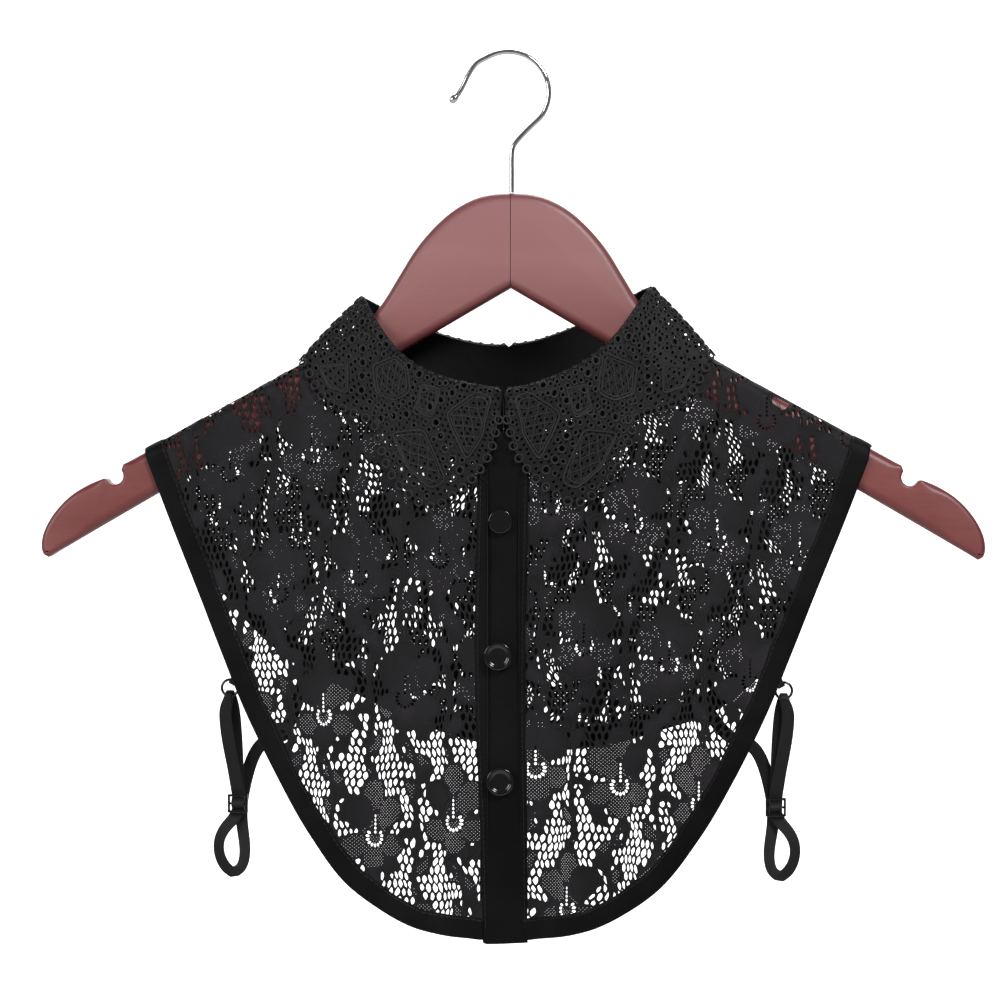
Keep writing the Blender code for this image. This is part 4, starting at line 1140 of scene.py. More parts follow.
def inside_outline(points: Array, outline: Array) -> Array:
    """Distance into an outline, positive inside."""
    return -Motif(outline, Filling.NET).distance(points)


def signed_area(outline: Array) -> float:
    """The area that an outline encloses, negative where it runs clockwise."""
    x, y = outline[:, 0], outline[:, 1]
    return float(np.dot(x, np.roll(y, -1)) - np.dot(y, np.roll(x, -1))) / 2


def turns_one_way(outline: Array) -> bool:
    """Whether an outline that runs clockwise never crosses itself or folds back."""
    run = np.roll(outline, -1, axis=0) - outline
    after = np.roll(run, -1, axis=0)
    turn = np.arctan2(run[:, 0] * after[:, 1] - run[:, 1] * after[:, 0], (run * after).sum(axis=1))
    return bool(abs(turn.sum() + 2 * math.pi) < 0.01 and turn.max() < 1.2)


@dataclass
class CutSheet:
    """A flat sheet with holes, triangulated between its outlines."""

    outline: Array
    holes: list[Array]

    def triangles(self) -> tuple[Array, Array]:
        """Cut the sheet into triangles.

        Returns:
            The points of two numbers each, and the triangles as indices.
        """
        points: list[Vector] = []
        faces: list[list[int]] = []
        for ring in [self.outline, *self.holes]:
            start = len(points)
            turning = ring if signed_area(ring) > 0 else ring[::-1]
            points.extend(Vector(p) for p in turning)
            faces.append(list(range(start, len(points))))
        found = delaunay_2d_cdt(points, [], faces, 0, 1e-5)
        places = np.array([tuple(p) for p in found[0]])
        kept = [face for face, source in zip(found[2], found[5]) if source == [0]]
        triangles = np.array(kept, int)
        used, triangles = np.unique(triangles, return_inverse=True)
        return places[used], triangles.reshape(-1, 3)


def sheet_solid(
    places: Array, triangles: Array, low: Array, high: Array
) -> tuple[Array, list[tuple[int, ...]]]:
    """Give a cut sheet its thickness.

    Args:
        places: The sheet's flat points, for the direction of its triangles.
        triangles: The sheet's triangles.
        low: The points of its inner face in space.
        high: The points of its outer face in space.

    Returns:
        The points and faces of the closed sheet.
    """
    count = len(places)
    a, b, c = (places[triangles[:, k]] for k in range(3))
    cross = (b - a)[:, 0] * (c - a)[:, 1] - (b - a)[:, 1] * (c - a)[:, 0]
    triangles = np.where((cross < 0)[:, None], triangles[:, ::-1], triangles)
    edges = np.concatenate([triangles[:, (0, 1)], triangles[:, (1, 2)], triangles[:, (2, 0)]])
    keys = edges[:, 0] * count + edges[:, 1]
    back_keys = edges[:, 1] * count + edges[:, 0]
    rim = edges[~np.isin(keys, back_keys)]
    faces = [tuple(t) for t in triangles + count]
    faces += [tuple(t[::-1]) for t in triangles]
    faces += [(s, e, e + count, s + count) for s, e in rim]
    return np.vstack([low, high]), faces


@dataclass
class LacePanel:
    """A lace panel: a net of uneven cells, motifs of fine mesh and solid work, and cords round them."""

    name: str
    face: Face
    sides: tuple[int, ...]
    node: str
    pattern: LacePattern
    lift: float = 0.45
    thickness: float = 0.34
    relief: float = 0.24
    cord_radius: float = 0.24
    binding_overlap: float = 3.0
    binding_width: float = 10.0
    placket_overlap: float = 4.5
    seam_overlap: float = 1.0
    cell_sizes: tuple[float, float] = (0.78, 1.03)
    corner_sizes: tuple[float, float] = (0.92, 1.05)

    def outline(self) -> Array:
        """The panel's outline, with what lies under the binding and the placket."""
        halves = []
        for side in self.sides:
            seam = DRAPE.seam(self.face, side)
            seam[:, 1] += self.seam_overlap * (np.abs(seam[:, 0]) < 70.0)
            edge = DRAPE.edge(self.face, side)
            inner = edge + inward(edge, side) * (self.binding_width - self.binding_overlap)
            across = np.linspace(seam[-1, 0], inner[-1, 0], 24)[1:-1]
            top = np.stack([across, DRAPE.shoulder(across)], axis=1)
            inner[-1, 1] = DRAPE.shoulder(inner[-1, 0])
            halves.append(np.vstack([seam, top, inner[::-1]]))
        if len(halves) == 2:
            right, left = halves
            return np.vstack([right, left[::-1][1:-1]])
        half, side = halves[0], self.sides[0]
        under = side * (abs(half[0, 0]) - self.placket_overlap)
        return np.vstack([half, [(under, half[-1, 1])], [(under, half[0, 1])]])

    def net_holes(self, outline: Array, motifs: list[Motif], box: tuple[float, ...]) -> list[Array]:
        """The open cells of the net, each drawn back from the motifs beside it."""
        pitch_x, pitch_z = self.pattern.cell_pitch
        half_x, half_z = self.pattern.cell_half
        centres = staggered((box[0] - 6, box[1] + 6, box[2] - 6, box[3] + 6), pitch_x, pitch_z)
        unit = np.array(
            [(0.0, 1.0), (0.76, 0.6), (1.06, 0.0), (0.76, -0.6)]
            + [(0.0, -1.0), (-0.76, -0.6), (-1.06, 0.0), (-0.76, 0.6)]
        ) * (half_x, half_z)
        middle = gathered(slack(centres), self.face)
        room = nearest(middle, motifs, lambda m: True)
        inside = inside_outline(middle, outline)
        kept = (room > self.pattern.strand) & (inside > 0.6)
        centres, middle = centres[kept], middle[kept]
        corners = gathered(slack((centres[:, None] + unit[None]).reshape(-1, 2)), self.face)
        corners = corners.reshape(-1, len(unit), 2)
        chance = np.random.default_rng(len(centres))
        drawn = chance.uniform(*self.cell_sizes, (len(centres), 1, 1))
        drawn = drawn * chance.uniform(*self.corner_sizes, (*corners.shape[:2], 1))
        corners = middle[:, None] + (corners - middle[:, None]) * drawn
        share = np.zeros(corners.shape[:2])
        open_way = np.ones(corners.shape[:2], bool)
        for part in (0.2, 0.36, 0.52, 0.68, 0.84, 1.0):
            tried = middle[:, None] + (corners - middle[:, None]) * part
            flat = tried.reshape(-1, 2)
            free = nearest(flat, motifs, lambda m: True) > self.pattern.strand
            free &= inside_outline(flat, outline) > 0.5
            open_way &= free.reshape(share.shape)
            share = np.where(open_way, part, share)
        holes = middle[:, None] + (corners - middle[:, None]) * share[..., None]
        holes = [hole[part > 0.1] for hole, part in zip(holes, share)]
        holes = [hole for hole in holes if len(hole) > 4 and -signed_area(hole) > self.pattern.least_hole]
        return [hole for hole in holes if turns_one_way(hole)]

    def mesh_holes(
        self, outline: Array, motifs: list[Motif], flowers: list[Array], box: tuple[float, ...]
    ) -> list[Array]:
        """The pin holes of the fine mesh inside the motifs."""
        pitch, half = self.pattern.mesh_pitch, self.pattern.mesh_half
        middle = gathered(staggered(box, pitch, pitch / 2), self.face)
        deep = nearest(middle, motifs, lambda m: m.filling is Filling.MESH) < -half - 0.28
        clear = nearest(middle, motifs, lambda m: m.filling is Filling.SOLID) > half + 0.28
        kept = deep & clear & (inside_outline(middle, outline) > 0.8)
        for flower in flowers:
            centre = gathered(flower[None], self.face)[0]
            away = middle - centre
            radius = np.linalg.norm(away, axis=1)
            ring = np.abs(radius - self.pattern.slot_radius) < self.pattern.slot_half[0] + half + 0.15
            line = (np.abs(away[:, 0]) < 1.3) & (away[:, 1] > 0) & (away[:, 1] < 11.5)
            kept &= ~(ring | line)
        unit = np.array([(0.0, half), (half, 0.0), (0.0, -half), (-half, 0.0)])
        return [centre + unit for centre in middle[kept]]

    def build(self, material: bpy.types.Material) -> bpy.types.Object:
        """Make the panel and log its size."""
        outline = self.outline()
        box = (outline[:, 0].min(), outline[:, 0].max(), outline[:, 1].min(), outline[:, 1].max())
        flowers = self.pattern.flowers(box)
        motifs = [Motif(gathered(m.outline, self.face), m.filling) for m in self.pattern.motifs(flowers)]
        motifs = [m for m in motifs if (inside_outline(m.outline, outline) > -1.0).any()]
        slots = [gathered(slot, self.face) for flower in flowers for slot in self.pattern.slots(flower)]
        slots = [slot for slot in slots if (inside_outline(slot, outline) > 0.5).all()]
        holes = self.net_holes(outline, motifs, box)
        holes += self.mesh_holes(outline, motifs, flowers, box)
        sheet = CutSheet(outline, holes + slots)
        places, triangles = sheet.triangles()
        depth = -nearest(places, motifs, lambda m: True, 1.0)
        solid = -nearest(places, motifs, lambda m: m.filling is Filling.SOLID, 1.0)
        filling = np.where(solid > -0.05, 1.0, np.where(depth > -0.05, 0.5, 0.0))
        raised = self.relief * ease((depth + 0.2) / 0.6)
        low = DRAPE.point(self.face, places[:, 0], places[:, 1], self.lift - raised * 0.5)
        high = DRAPE.point(self.face, places[:, 0], places[:, 1], self.lift + self.thickness + raised)
        points, faces = sheet_solid(places, triangles, low, high)
        pile = Pile()
        pile.add(points, faces, np.vstack([places, places]), np.concatenate([filling, filling]))
        self.cords(pile, motifs, outline)
        piece = turned_out(pile.build(self.name, material))
        hung(piece, box[1] - box[0], box[3] - box[2], abs(signed_area(outline)))
        log.info("%s: %d polygons, %d holes", self.name, len(piece.data.polygons), len(holes))
        return piece

    def cords(self, pile: Pile, motifs: list[Motif], outline: Array) -> None:
        """Lay a cord along each motif's outline, but not where it runs inside another motif."""
        top = self.lift + self.thickness + self.relief
        for number, motif in enumerate(motifs):
            ring = np.vstack([motif.outline, motif.outline[:1]])
            others = [m for k, m in enumerate(motifs) if k != number and m.filling is motif.filling]
            near = [m for m in others if np.linalg.norm(m.centre - motif.centre) < m.reach + motif.reach]
            free = nearest(ring, near, lambda m: True) > -0.5
            free &= inside_outline(ring, outline) > 0.4
            for run in runs_of(free):
                if len(run) < 3:
                    continue
                line = ring[run]
                centres = DRAPE.point(self.face, line[:, 0], line[:, 1], top - 0.05)
                normals = DRAPE.normal(self.face, line[:, 0], line[:, 1], top)
                pile.tube(centres, normals, self.cord_radius, 4, 0.7, filling=1.0, chart=line)


def hung(piece: bpy.types.Object, width: float, length: float, area: float) -> None:
    """Log the triangles, the cut and the surface share of a sheet of cloth that hangs.

    Args:
        piece: The sheet.
        width: The width of the cut that shows, in millimetres.
        length: Its length.
        area: Its flat area in square millimetres.
    """
    surface = sum(face.area for face in piece.data.polygons) / MM / MM
    triangles = sum(len(face.vertices) - 2 for face in piece.data.polygons)
    log.info("%s: %d triangles", piece.name, triangles)
    log.info("%s: cut %.0f x %.0f mm, share %.2f", piece.name, width, length, surface / area / 2)


def runs_of(flags: Array) -> list[Array]:
    """The stretches of a list where its flags are set, as lists of indices."""
    places = np.flatnonzero(flags)
    if not len(places):
        return []
    return np.split(places, np.flatnonzero(np.diff(places) > 1) + 1)


def lofted_band(
    name: str, rings: Sequence[Array], chart: Sequence[Array], satin: bpy.types.Material
) -> bpy.types.Object:
    """Make a closed satin band from the lines along it.

    Args:
        name: The band's name.
        rings: Lines along the band, in order round its section.
        chart: The same lines as places on the flat cloth.
        satin: The band's material.

    Returns:
        The new piece.
    """
    points, faces = lofted(np.stack(rings, axis=1))
    pile = Pile()
    pile.add(points, faces, np.stack(chart, axis=1).reshape(-1, 2))
    return turned_out(pile.build(name, satin, BAND_SMOOTH))


@dataclass
class Binding:
    """A bias binding folded round a panel's outer edge, with its row of stitches."""

    name: str
    face: Face
    sides: tuple[int, ...]
    node: str
    width: float = 10.0
    turned_in: float = 1.7
    placket_overlap: float = 2.0
    stitch_inset: float = 8.9
    stitch_length: float = 2.3
    stitch_pitch: float = 2.9
    section: tuple[tuple[float, float], ...] = (
        # in from the edge, lift
        (10.0, 0.15),
        (10.0, 1.25),
        (9.4, 1.5),
        (8.2, 1.62),
        (5.0, 1.74),
        (2.0, 1.76),
        (0.7, 1.66),
        (0.1, 1.3),
        (0.0, 0.9),
        (0.1, 0.45),
        (0.7, 0.1),
        (3.0, 0.02),
        (7.0, 0.02),
    )

    def stations(self) -> tuple[Array, Array]:
        """The edge's points and their inward normals, from one end of the binding to the other."""
        lines, normals = [], []
        for side in self.sides:
            edge = DRAPE.edge(self.face, side)
            if len(self.sides) == 1:
                edge = np.vstack([[edge[0] - (side * self.placket_overlap, 0.0)], edge])
            edge = resampled(edge, 190)
            normal = inward(edge, side)
            if side < 0 and len(self.sides) == 2:
                edge, normal = edge[::-1][:-1], normal[::-1][:-1]
            lines.insert(0 if side < 0 else len(lines), edge)
            normals.insert(0 if side < 0 else len(normals), normal)
        return np.vstack(lines), np.vstack(normals)

    def build(self, satin: bpy.types.Material, thread: bpy.types.Material) -> list[bpy.types.Object]:
        """Make the band and its stitching."""
        edge, normal = self.stations()
        along = along_line(edge)
        sway = 0.22 * np.sin(along / 7.3) + 0.16 * np.sin(along / 3.1 + 1.0)
        puff = 0.10 * np.sin(along / 2.3) + 0.08 * np.sin(along / 5.2 + 2.0)
        rings, chart = [], []
        for inset, lift in self.section:
            share = inset / self.width
            place = edge + normal * (inset + sway * share)[:, None]
            height = lift + puff * (lift > 1.0) * (0.3 < share < 0.95)
            rings.append(DRAPE.point(self.face, place[:, 0], place[:, 1], height))
            chart.append(np.stack([np.full(len(along), inset), along], axis=1))
        band = lofted_band(self.name, rings, chart, satin)
        place = edge + normal * (self.stitch_inset + sway * 0.9)[:, None]
        sewing = stitches(place, self.face, 1.62, self.stitch_length, self.stitch_pitch)
        seam = turned_out(sewing.build(self.name + "_stitches", thread))
        shown = self.width + self.turned_in
        hung(band, shown, along[-1], shown * along[-1])
        return [band, seam]


def stitches(line: Array, face: Face, lift: float, length: float, pitch: float) -> Pile:
    """Lay stitches along a line on the cloth.

    Args:
        line: Places on the cloth, across and up.
        face: The panel's side of the hanger.
        lift: How far the thread stands out of the cloth's inner face.
        length: A stitch's length.
        pitch: The distance from one stitch to the next.

    Returns:
        The stitches as one pile.
    """
    pile = Pile()
    along = along_line(line)
    for start in np.arange(0.6, along[-1] - length, pitch):
        places = start + np.array([0.0, 0.14, 0.5, 0.86, 1.0]) * length
        across = np.interp(places, along, line[:, 0])
        up = np.interp(places, along, line[:, 1])
        height = lift + np.array([-0.12, 0.06, 0.12, 0.06, -0.12])
        centres = DRAPE.point(face, across, up, height)
        normals = DRAPE.normal(face, across, up, lift)
        pile.tube(centres, normals, np.array([0.12, 0.17, 0.18, 0.17, 0.12]), 5)
    return pile


@dataclass
class Placket:
    """The top band down the centre front, with its folded edges, and the band under it."""

    half_width: float = 11.3
    top: float = -178.4
    bottom: float = -416.6
    # height, how far the band wanders from the centre line, its width as a share
    course: tuple[tuple[float, float, float], ...] = (
        (-178.4, 0.0, 1.04),
        (-209.0, -0.2, 1.06),
        (-275.0, -1.6, 1.06),
        (-332.0, -0.9, 1.01),
        (-360.0, 0.1, 0.97),
        (-416.6, 0.9, 0.93),
    )
    section: tuple[tuple[float, float], ...] = (
        # share of the half width, lift
        (1.0, 0.75),
        (0.985, 1.15),
        (0.94, 1.42),
        (0.86, 1.52),
        (0.8, 1.5),
        (0.5, 1.62),
        (0.0, 1.68),
        (-0.5, 1.62),
        (-0.8, 1.5),
        (-0.86, 1.52),
        (-0.94, 1.42),
        (-0.985, 1.15),
        (-1.0, 0.75),
        (-0.94, 0.25),
        (0.0, 0.22),
        (0.94, 0.25),
    )
    stand_section: tuple[tuple[float, float], ...] = (
        # share of the half width, lift
        (1.0, -0.8),
        (0.97, -0.2),
        (0.0, -0.15),
        (-0.97, -0.2),
        (-1.0, -0.8),
        (-0.97, -1.4),
        (0.0, -1.5),
        (0.97, -1.4),
    )
    turned_in: float = 1.5
    stand_turned_in: float = 1.0

    def build(self, satin: bpy.types.Material, thread: bpy.types.Material) -> list[bpy.types.Object]:
        """Make the band, the stand under it and their stitches."""
        course = smooth_line(np.array(self.course), 8)
        z = np.linspace(self.top, self.bottom, 100)
        drift = np.interp(-z, -course[:, 0], course[:, 1])
        wide = np.interp(-z, -course[:, 0], course[:, 2]) * self.half_width
        ripple = 0.12 * np.sin(z / 6.1) + 0.1 * np.sin(z / 2.7)
        rings, chart = [], []
        for share, lift in self.section:
            across = drift + share * wide + 0.12 * np.sin(z / 4.4 + share * 3.0)
            height = lift + ripple * (1.0 - abs(share)) * (lift > 1.0)
            rings.append(DRAPE.point(Face.FRONT, across, z, height))
            chart.append(np.stack([across, z], axis=1))
        for line, wave in zip(rings, np.sin(np.linspace(0.0, 9.0, len(rings)))):
            line[-1, 2] += 0.5 * wave
        band = lofted_band("placket_satin", rings, chart, satin)
        sewing = Pile()
        for sign in (-1.0, 1.0):
            line = np.stack([drift + sign * wide * 0.86, z], axis=1)[2:-2]
            row = stitches(line, Face.FRONT, 1.53, 2.2, 2.8)
            sewing.add(np.concatenate(row.points), row.faces, np.concatenate(row.chart))
        seam = turned_out(sewing.build("placket_stitches", thread))
        width, length = 2 * self.half_width + self.turned_in, self.top - self.bottom
        hung(band, width, length, width * length)
        return [band, seam]

    def stand(self, satin: bpy.types.Material) -> bpy.types.Object:
        """Make the button stand, the band under the placket."""
        z = np.linspace(self.top, self.bottom + 1.6, 70)
        rings, chart = [], []
        for share, lift in self.stand_section:
            across = np.full(len(z), share * self.half_width * 0.98)
            rings.append(DRAPE.point(Face.FRONT, across, z, lift))
            chart.append(np.stack([across, z], axis=1))
        piece = lofted_band("button_stand_satin", rings, chart, satin)
        width, length = 2 * self.half_width + self.stand_turned_in, self.top - self.bottom
        hung(piece, width, length, width * length)
        return piece


@dataclass
class Neck:
    """The collar's form: its fold, the neckband under it and the leaf that lies over it."""

    collar_lift: float = 1.8
    roll_in: float = 1.3
    roll_top: float = 0.3
    roll_rise: float = 0.5
    roll_out: float = 1.5
    roll_drop: float = 1.4
    belly: float = 2.0
    side_turn: float = 2.2
    front_half_gap: float = 0.5
    back_half_gap: float = 0.2
    front_edge: tuple[float, float] = (1.2, -172.5)
    front_lift: float = 1.6
    point_lift: float = 1.0
    opening_half: float = 0.3
    shoulder_share: float = 0.66
    wrap_rays: float = 0.9
    stand_wall: float = 1.4
    stand_set_back: float = 0.4

    def fold(self, face: Face, side: int, ray: float) -> Array:
        """The top of the neckband's outer face, where the collar folds over."""
        rays = FRONT_RAYS if face is Face.FRONT else BACK_RAYS
        if ray < 0:
            first = self.fold(face, side, 0.0)
            return np.array([DRAPE.centre_x + side * self.opening_half, first[1] - 0.5, first[2] - 1.6])
        tilt = DRAPE.front_lean * side * math.sin(math.pi * ray / 13.0)
        a, y, z = (float(column(rays, min(ray, LAST_FAN), k)) for k in range(3))
        if ray > LAST_FAN:
            part = min((ray - LAST_FAN) / self.wrap_rays, 1.0) * self.shoulder_share
            if ray >= LAST_FAN + 1:
                part = 1.0
            a, y, z = (v + (rays[-1, k] - v) * part for k, v in enumerate((a, y, z)))
        return np.array([DRAPE.centre_x + side * a, face.value * y, z + tilt])

    def seam(self, face: Face, side: int, ray: float) -> Array:
        """The neck seam under the neckband's outer face."""
        if ray < 0:
            first = self.seam(face, side, 0.0)
            return np.array([DRAPE.centre_x + side * self.opening_half, first[1] - 0.7, first[2] - 0.6])
        rays = FRONT_RAYS if face is Face.FRONT else BACK_RAYS
        a = float(column(rays, ray, 3))
        z = float(column(rays, ray, 4))
        if face is Face.FRONT:
            z += float(DRAPE.lean(face, side, np.array(ray)))
        if ray > LAST_FAN:
            start = float(DRAPE.wrap_start(side * a))
            end = float(DRAPE.shoulder(side * a))
            z = start + (end - start) * min((ray - LAST_FAN) / self.wrap_rays, 1.0)
        return DRAPE.point(face, np.array([side * a]), np.array([z]), 0.0)[0]

    def edge(self, face: Face, side: int, ray: float) -> Array:
        """A point of the leaf's outer edge, lying just off the panel."""
        rays = FRONT_RAYS if face is Face.FRONT else BACK_RAYS
        if ray < 0:
            a, z = self.front_edge
            y = DRAPE.depth(face, np.array(side), np.array(a), np.array(z), self.collar_lift)
            return np.array([DRAPE.centre_x + side * a, -float(y) - self.front_lift, z])
        a = max(float(column(rays, ray, 7)), self.front_half_gap)
        if ray >= LAST_FAN:
            turn = min((ray - LAST_FAN) / self.wrap_rays, 1.0) * math.pi / 2
            corner = DRAPE.edge_round + float(DRAPE.clearance(a)) + self.collar_lift
            z = float(DRAPE.wrap_start(side * a)) + corner * math.sin(turn)
            y = DRAPE.flat + corner * math.cos(turn)
            if ray >= LAST_FAN + 1:
                y = 0.0
            return np.array([DRAPE.centre_x + side * a, face.value * y, z])
        z = float(column(rays, ray, 8))
        if face is Face.FRONT:
            z += 0.5 * float(DRAPE.lean(face, side, np.array(ray)))
        lift = self.collar_lift + self.point_lift * float(ease((LAST_FAN - ray) / 4.0))
        y = self.hang(face, side, a, z, lift)
        return np.array([DRAPE.centre_x + side * a, face.value * y, z])

    @staticmethod
    def hang(face: Face, side: int, a: float, z: float, lift: float) -> float:
        """Distance of the cloth from the hanger's plane, over the arm too."""
        corner = DRAPE.edge_round + float(DRAPE.clearance(a)) + lift
        rise = z - float(DRAPE.wrap_start(side * a))
        if rise <= 0 or a < DRAPE.wrap_least_a:
            return float(DRAPE.depth(face, np.array(side), np.array(a), np.array(z), lift))
        if rise >= corner:
            return 0.0
        return DRAPE.flat + math.sqrt(corner * corner - rise * rise)

    def line(self, face: Face, side: int, ray: float) -> Array:
        """One line of the leaf's under face, from inside the fold to the outer edge."""
        fold = self.fold(face, side, ray)
        least = self.front_half_gap if face is Face.FRONT else self.back_half_gap
        fold[0] = DRAPE.centre_x + side * max(side * (fold[0] - DRAPE.centre_x), least)
        edge = self.edge(face, side, ray)
        away = np.array([fold[0] - DRAPE.centre_x, fold[1] * self.side_turn, 0.0])
        if ray < 0:
            away = np.array([0.0, -1.0, 0.0])
        away = away / np.linalg.norm(away)
        up = np.array([0.0, 0.0, 1.0])
        points = [
            fold - away * self.roll_in + up * (self.roll_rise - 0.9),
            fold - away * self.roll_in * 0.5 + up * self.roll_rise,
            fold + away * self.roll_top + up * self.roll_rise,
            fold + away * self.roll_out - up * self.roll_drop,
        ]
        start = points[-1]
        middle = (start + edge) / 2 + away * self.belly
        for v in np.linspace(0.0, 1.0, 11)[1:]:
            place = start * (1 - v) ** 2 + middle * (2 * v * (1 - v)) + edge * v * v
            a = side * (place[0] - DRAPE.centre_x)
            least = self.hang(face, side, a, place[2], self.collar_lift)
            if v < 1 and face.value * place[1] < least and ray <= LAST_FAN:
                place[1] = face.value * least
            points.append(place)
        return smooth_line(np.array(points), 3)

    def leaf_stations(self) -> list[tuple[Face, float]]:
        """Stations of one leaf, from the centre front over the shoulder to the centre back."""
        front = [(Face.FRONT, ray) for ray in (-1.0, *np.linspace(0.0, 8.999, 64))]
        shoulder = [(Face.FRONT, 9.0 + 0.9 * part) for part in (0.2, 0.4, 0.6, 0.8)]
        rear = [(Face.BACK, 9.0 + 0.9 * part) for part in (0.8, 0.6, 0.4, 0.2)]
        back = [(Face.BACK, ray) for ray in np.linspace(0.0, 8.999, 60)[::-1]]
        return front + shoulder + [(Face.FRONT, 10.0)] + rear + back

    def band_stations(self) -> list[tuple[Face, int, float]]:
        """Stations round the neck, from the centre front on the right to that on the left."""
        half = [9.9, 9.6, 9.3, *np.linspace(8.999, 0.0, 34)]
        right = [(Face.FRONT, 1, ray) for ray in [-1.0, *half[::-1]]] + [(Face.FRONT, 1, 10.0)]
        right += [(Face.BACK, 1, ray) for ray in half]
        left = [(Face.BACK, -1, ray) for ray in half[::-1]][1:] + [(Face.FRONT, -1, 10.0)]
        return right + left + [(Face.FRONT, -1, ray) for ray in [*half, -1.0]]


NECK = Neck()


def grid_normals(grid: Array) -> Array:
    """Unit normals of a grid of points."""
    down, across = np.gradient(grid, axis=0), np.gradient(grid, axis=1)
    out = np.cross(down, across)
    return out / np.maximum(np.linalg.norm(out, axis=-1, keepdims=True), 1e-9)


@dataclass
class Neckband:
    """The satin stand round the neck, inside the collar."""

    rows: int = 8
    low_gap: float = 0.2
    shoulder_gap: float = 0.9

    def build(self, satin: bpy.types.Material) -> bpy.types.Object:
        """Make the band."""
        lines = []
        for face, side, ray in NECK.band_stations():
            fold, seam = NECK.fold(face, side, ray), NECK.seam(face, side, ray)
            upward = (fold - seam) / np.linalg.norm(fold - seam)
            seam = seam + upward * (self.low_gap + self.shoulder_gap * float(ease((ray - 7.5) / 1.5)))
            lines.append([seam + (fold - seam) * v for v in np.linspace(0.0, 1.0, self.rows)])
        outer = np.array(lines)
        normals = grid_normals(outer)
        middle = outer.reshape(-1, 3).mean(axis=0)
        if np.dot(normals[9, 1], outer[9, 1] - middle) < 0:
            normals = -normals
        outside = outer - normals * NECK.stand_set_back
        inside = outer - normals * (NECK.stand_set_back + NECK.stand_wall)
        bulge = 0.25 * np.sin(np.linspace(0.0, math.pi, self.rows))[None, :, None]
        points, faces = wall(inside + normals * bulge * 0.5, outside)
        along = np.cumsum(np.linalg.norm(np.diff(outer[:, 0], axis=0, prepend=outer[:1, 0]), axis=1))
        up = np.linspace(0.0, 22.0, self.rows)
        chart = np.stack(np.broadcast_arrays(along[:, None], up[None]), axis=-1).reshape(-1, 2)
        pile = Pile()
        pile.add(points, faces, np.vstack([chart, chart]))
        piece = turned_out(pile.build("neckband_satin", satin, BAND_SMOOTH))
        heights = np.linalg.norm(outer[:, -1] - outer[:, 0], axis=1)
        steps = np.linalg.norm(np.diff(outer[:, 4], axis=0), axis=1)
        area = float((steps * (heights[1:] + heights[:-1]) / 2).sum())
        hung(piece, float(heights.max()), float(steps.sum()), area)
        return piece


# Medallions of the guipure, as outlines on one leaf seen from the front or from behind
FRONT_MEDALLIONS = (
    # corner points: distance from the centre line, height
    ((5.6, -162.0), (12.4, -160.0), (26.5, -169.5), (22.7, -179.0), (16.6, -191.5), (9.4, -180.0)),
    ((37.2, -177.0), (52.6, -178.5), (44.9, -195.0), (33.6, -204.6), (26.6, -201.6), (30.4, -191.5)),
    ((45.6, -141.0), (61.8, -147.0), (60.0, -160.0), (51.0, -163.6), (43.6, -160.0)),
    ((73.6, -146.5), (87.6, -147.5), (83.0, -157.0), (73.7, -160.0)),
    ((29.0, -158.6), (38.0, -156.0), (41.0, -168.0), (33.0, -171.6)),
)
BACK_MEDALLIONS = (
    ((4.5, -146.0), (17.0, -147.0), (20.0, -164.0), (13.0, -178.0), (5.5, -168.0)),
    ((25.5, -143.0), (37.0, -140.0), (42.0, -158.0), (37.0, -178.0), (28.5, -180.0), (24.5, -162.0)),
    ((46.5, -135.0), (56.0, -131.0), (61.0, -146.0), (56.0, -163.0), (48.5, -160.0)),
    ((68.5, -134.0), (80.0, -142.0), (82.0, -152.0), (70.0, -156.0)),
)
FRONT_RING_ROWS = (
    # start a, start z, end a, end z, rings, sag
    (18.5, -157.0, 57.6, -172.1, 8, -3.0),
    (31.0, -174.0, 19.8, -196.0, 5, 1.6),
    (67.3, -127.0, 67.1, -158.5, 6, -0.8),
    (40.6, -142.5, 37.2, -158.5, 3, 0.0),
    (51.0, -133.6, 79.0, -136.0, 5, 0.4),
)
BACK_RING_ROWS = (
    (22.4, -141.0, 21.8, -184.0, 8, 0.8),
    (43.8, -135.5, 46.0, -180.0, 8, 1.0),
    (62.8, -126.0, 64.0, -164.0, 7, 0.6),
)


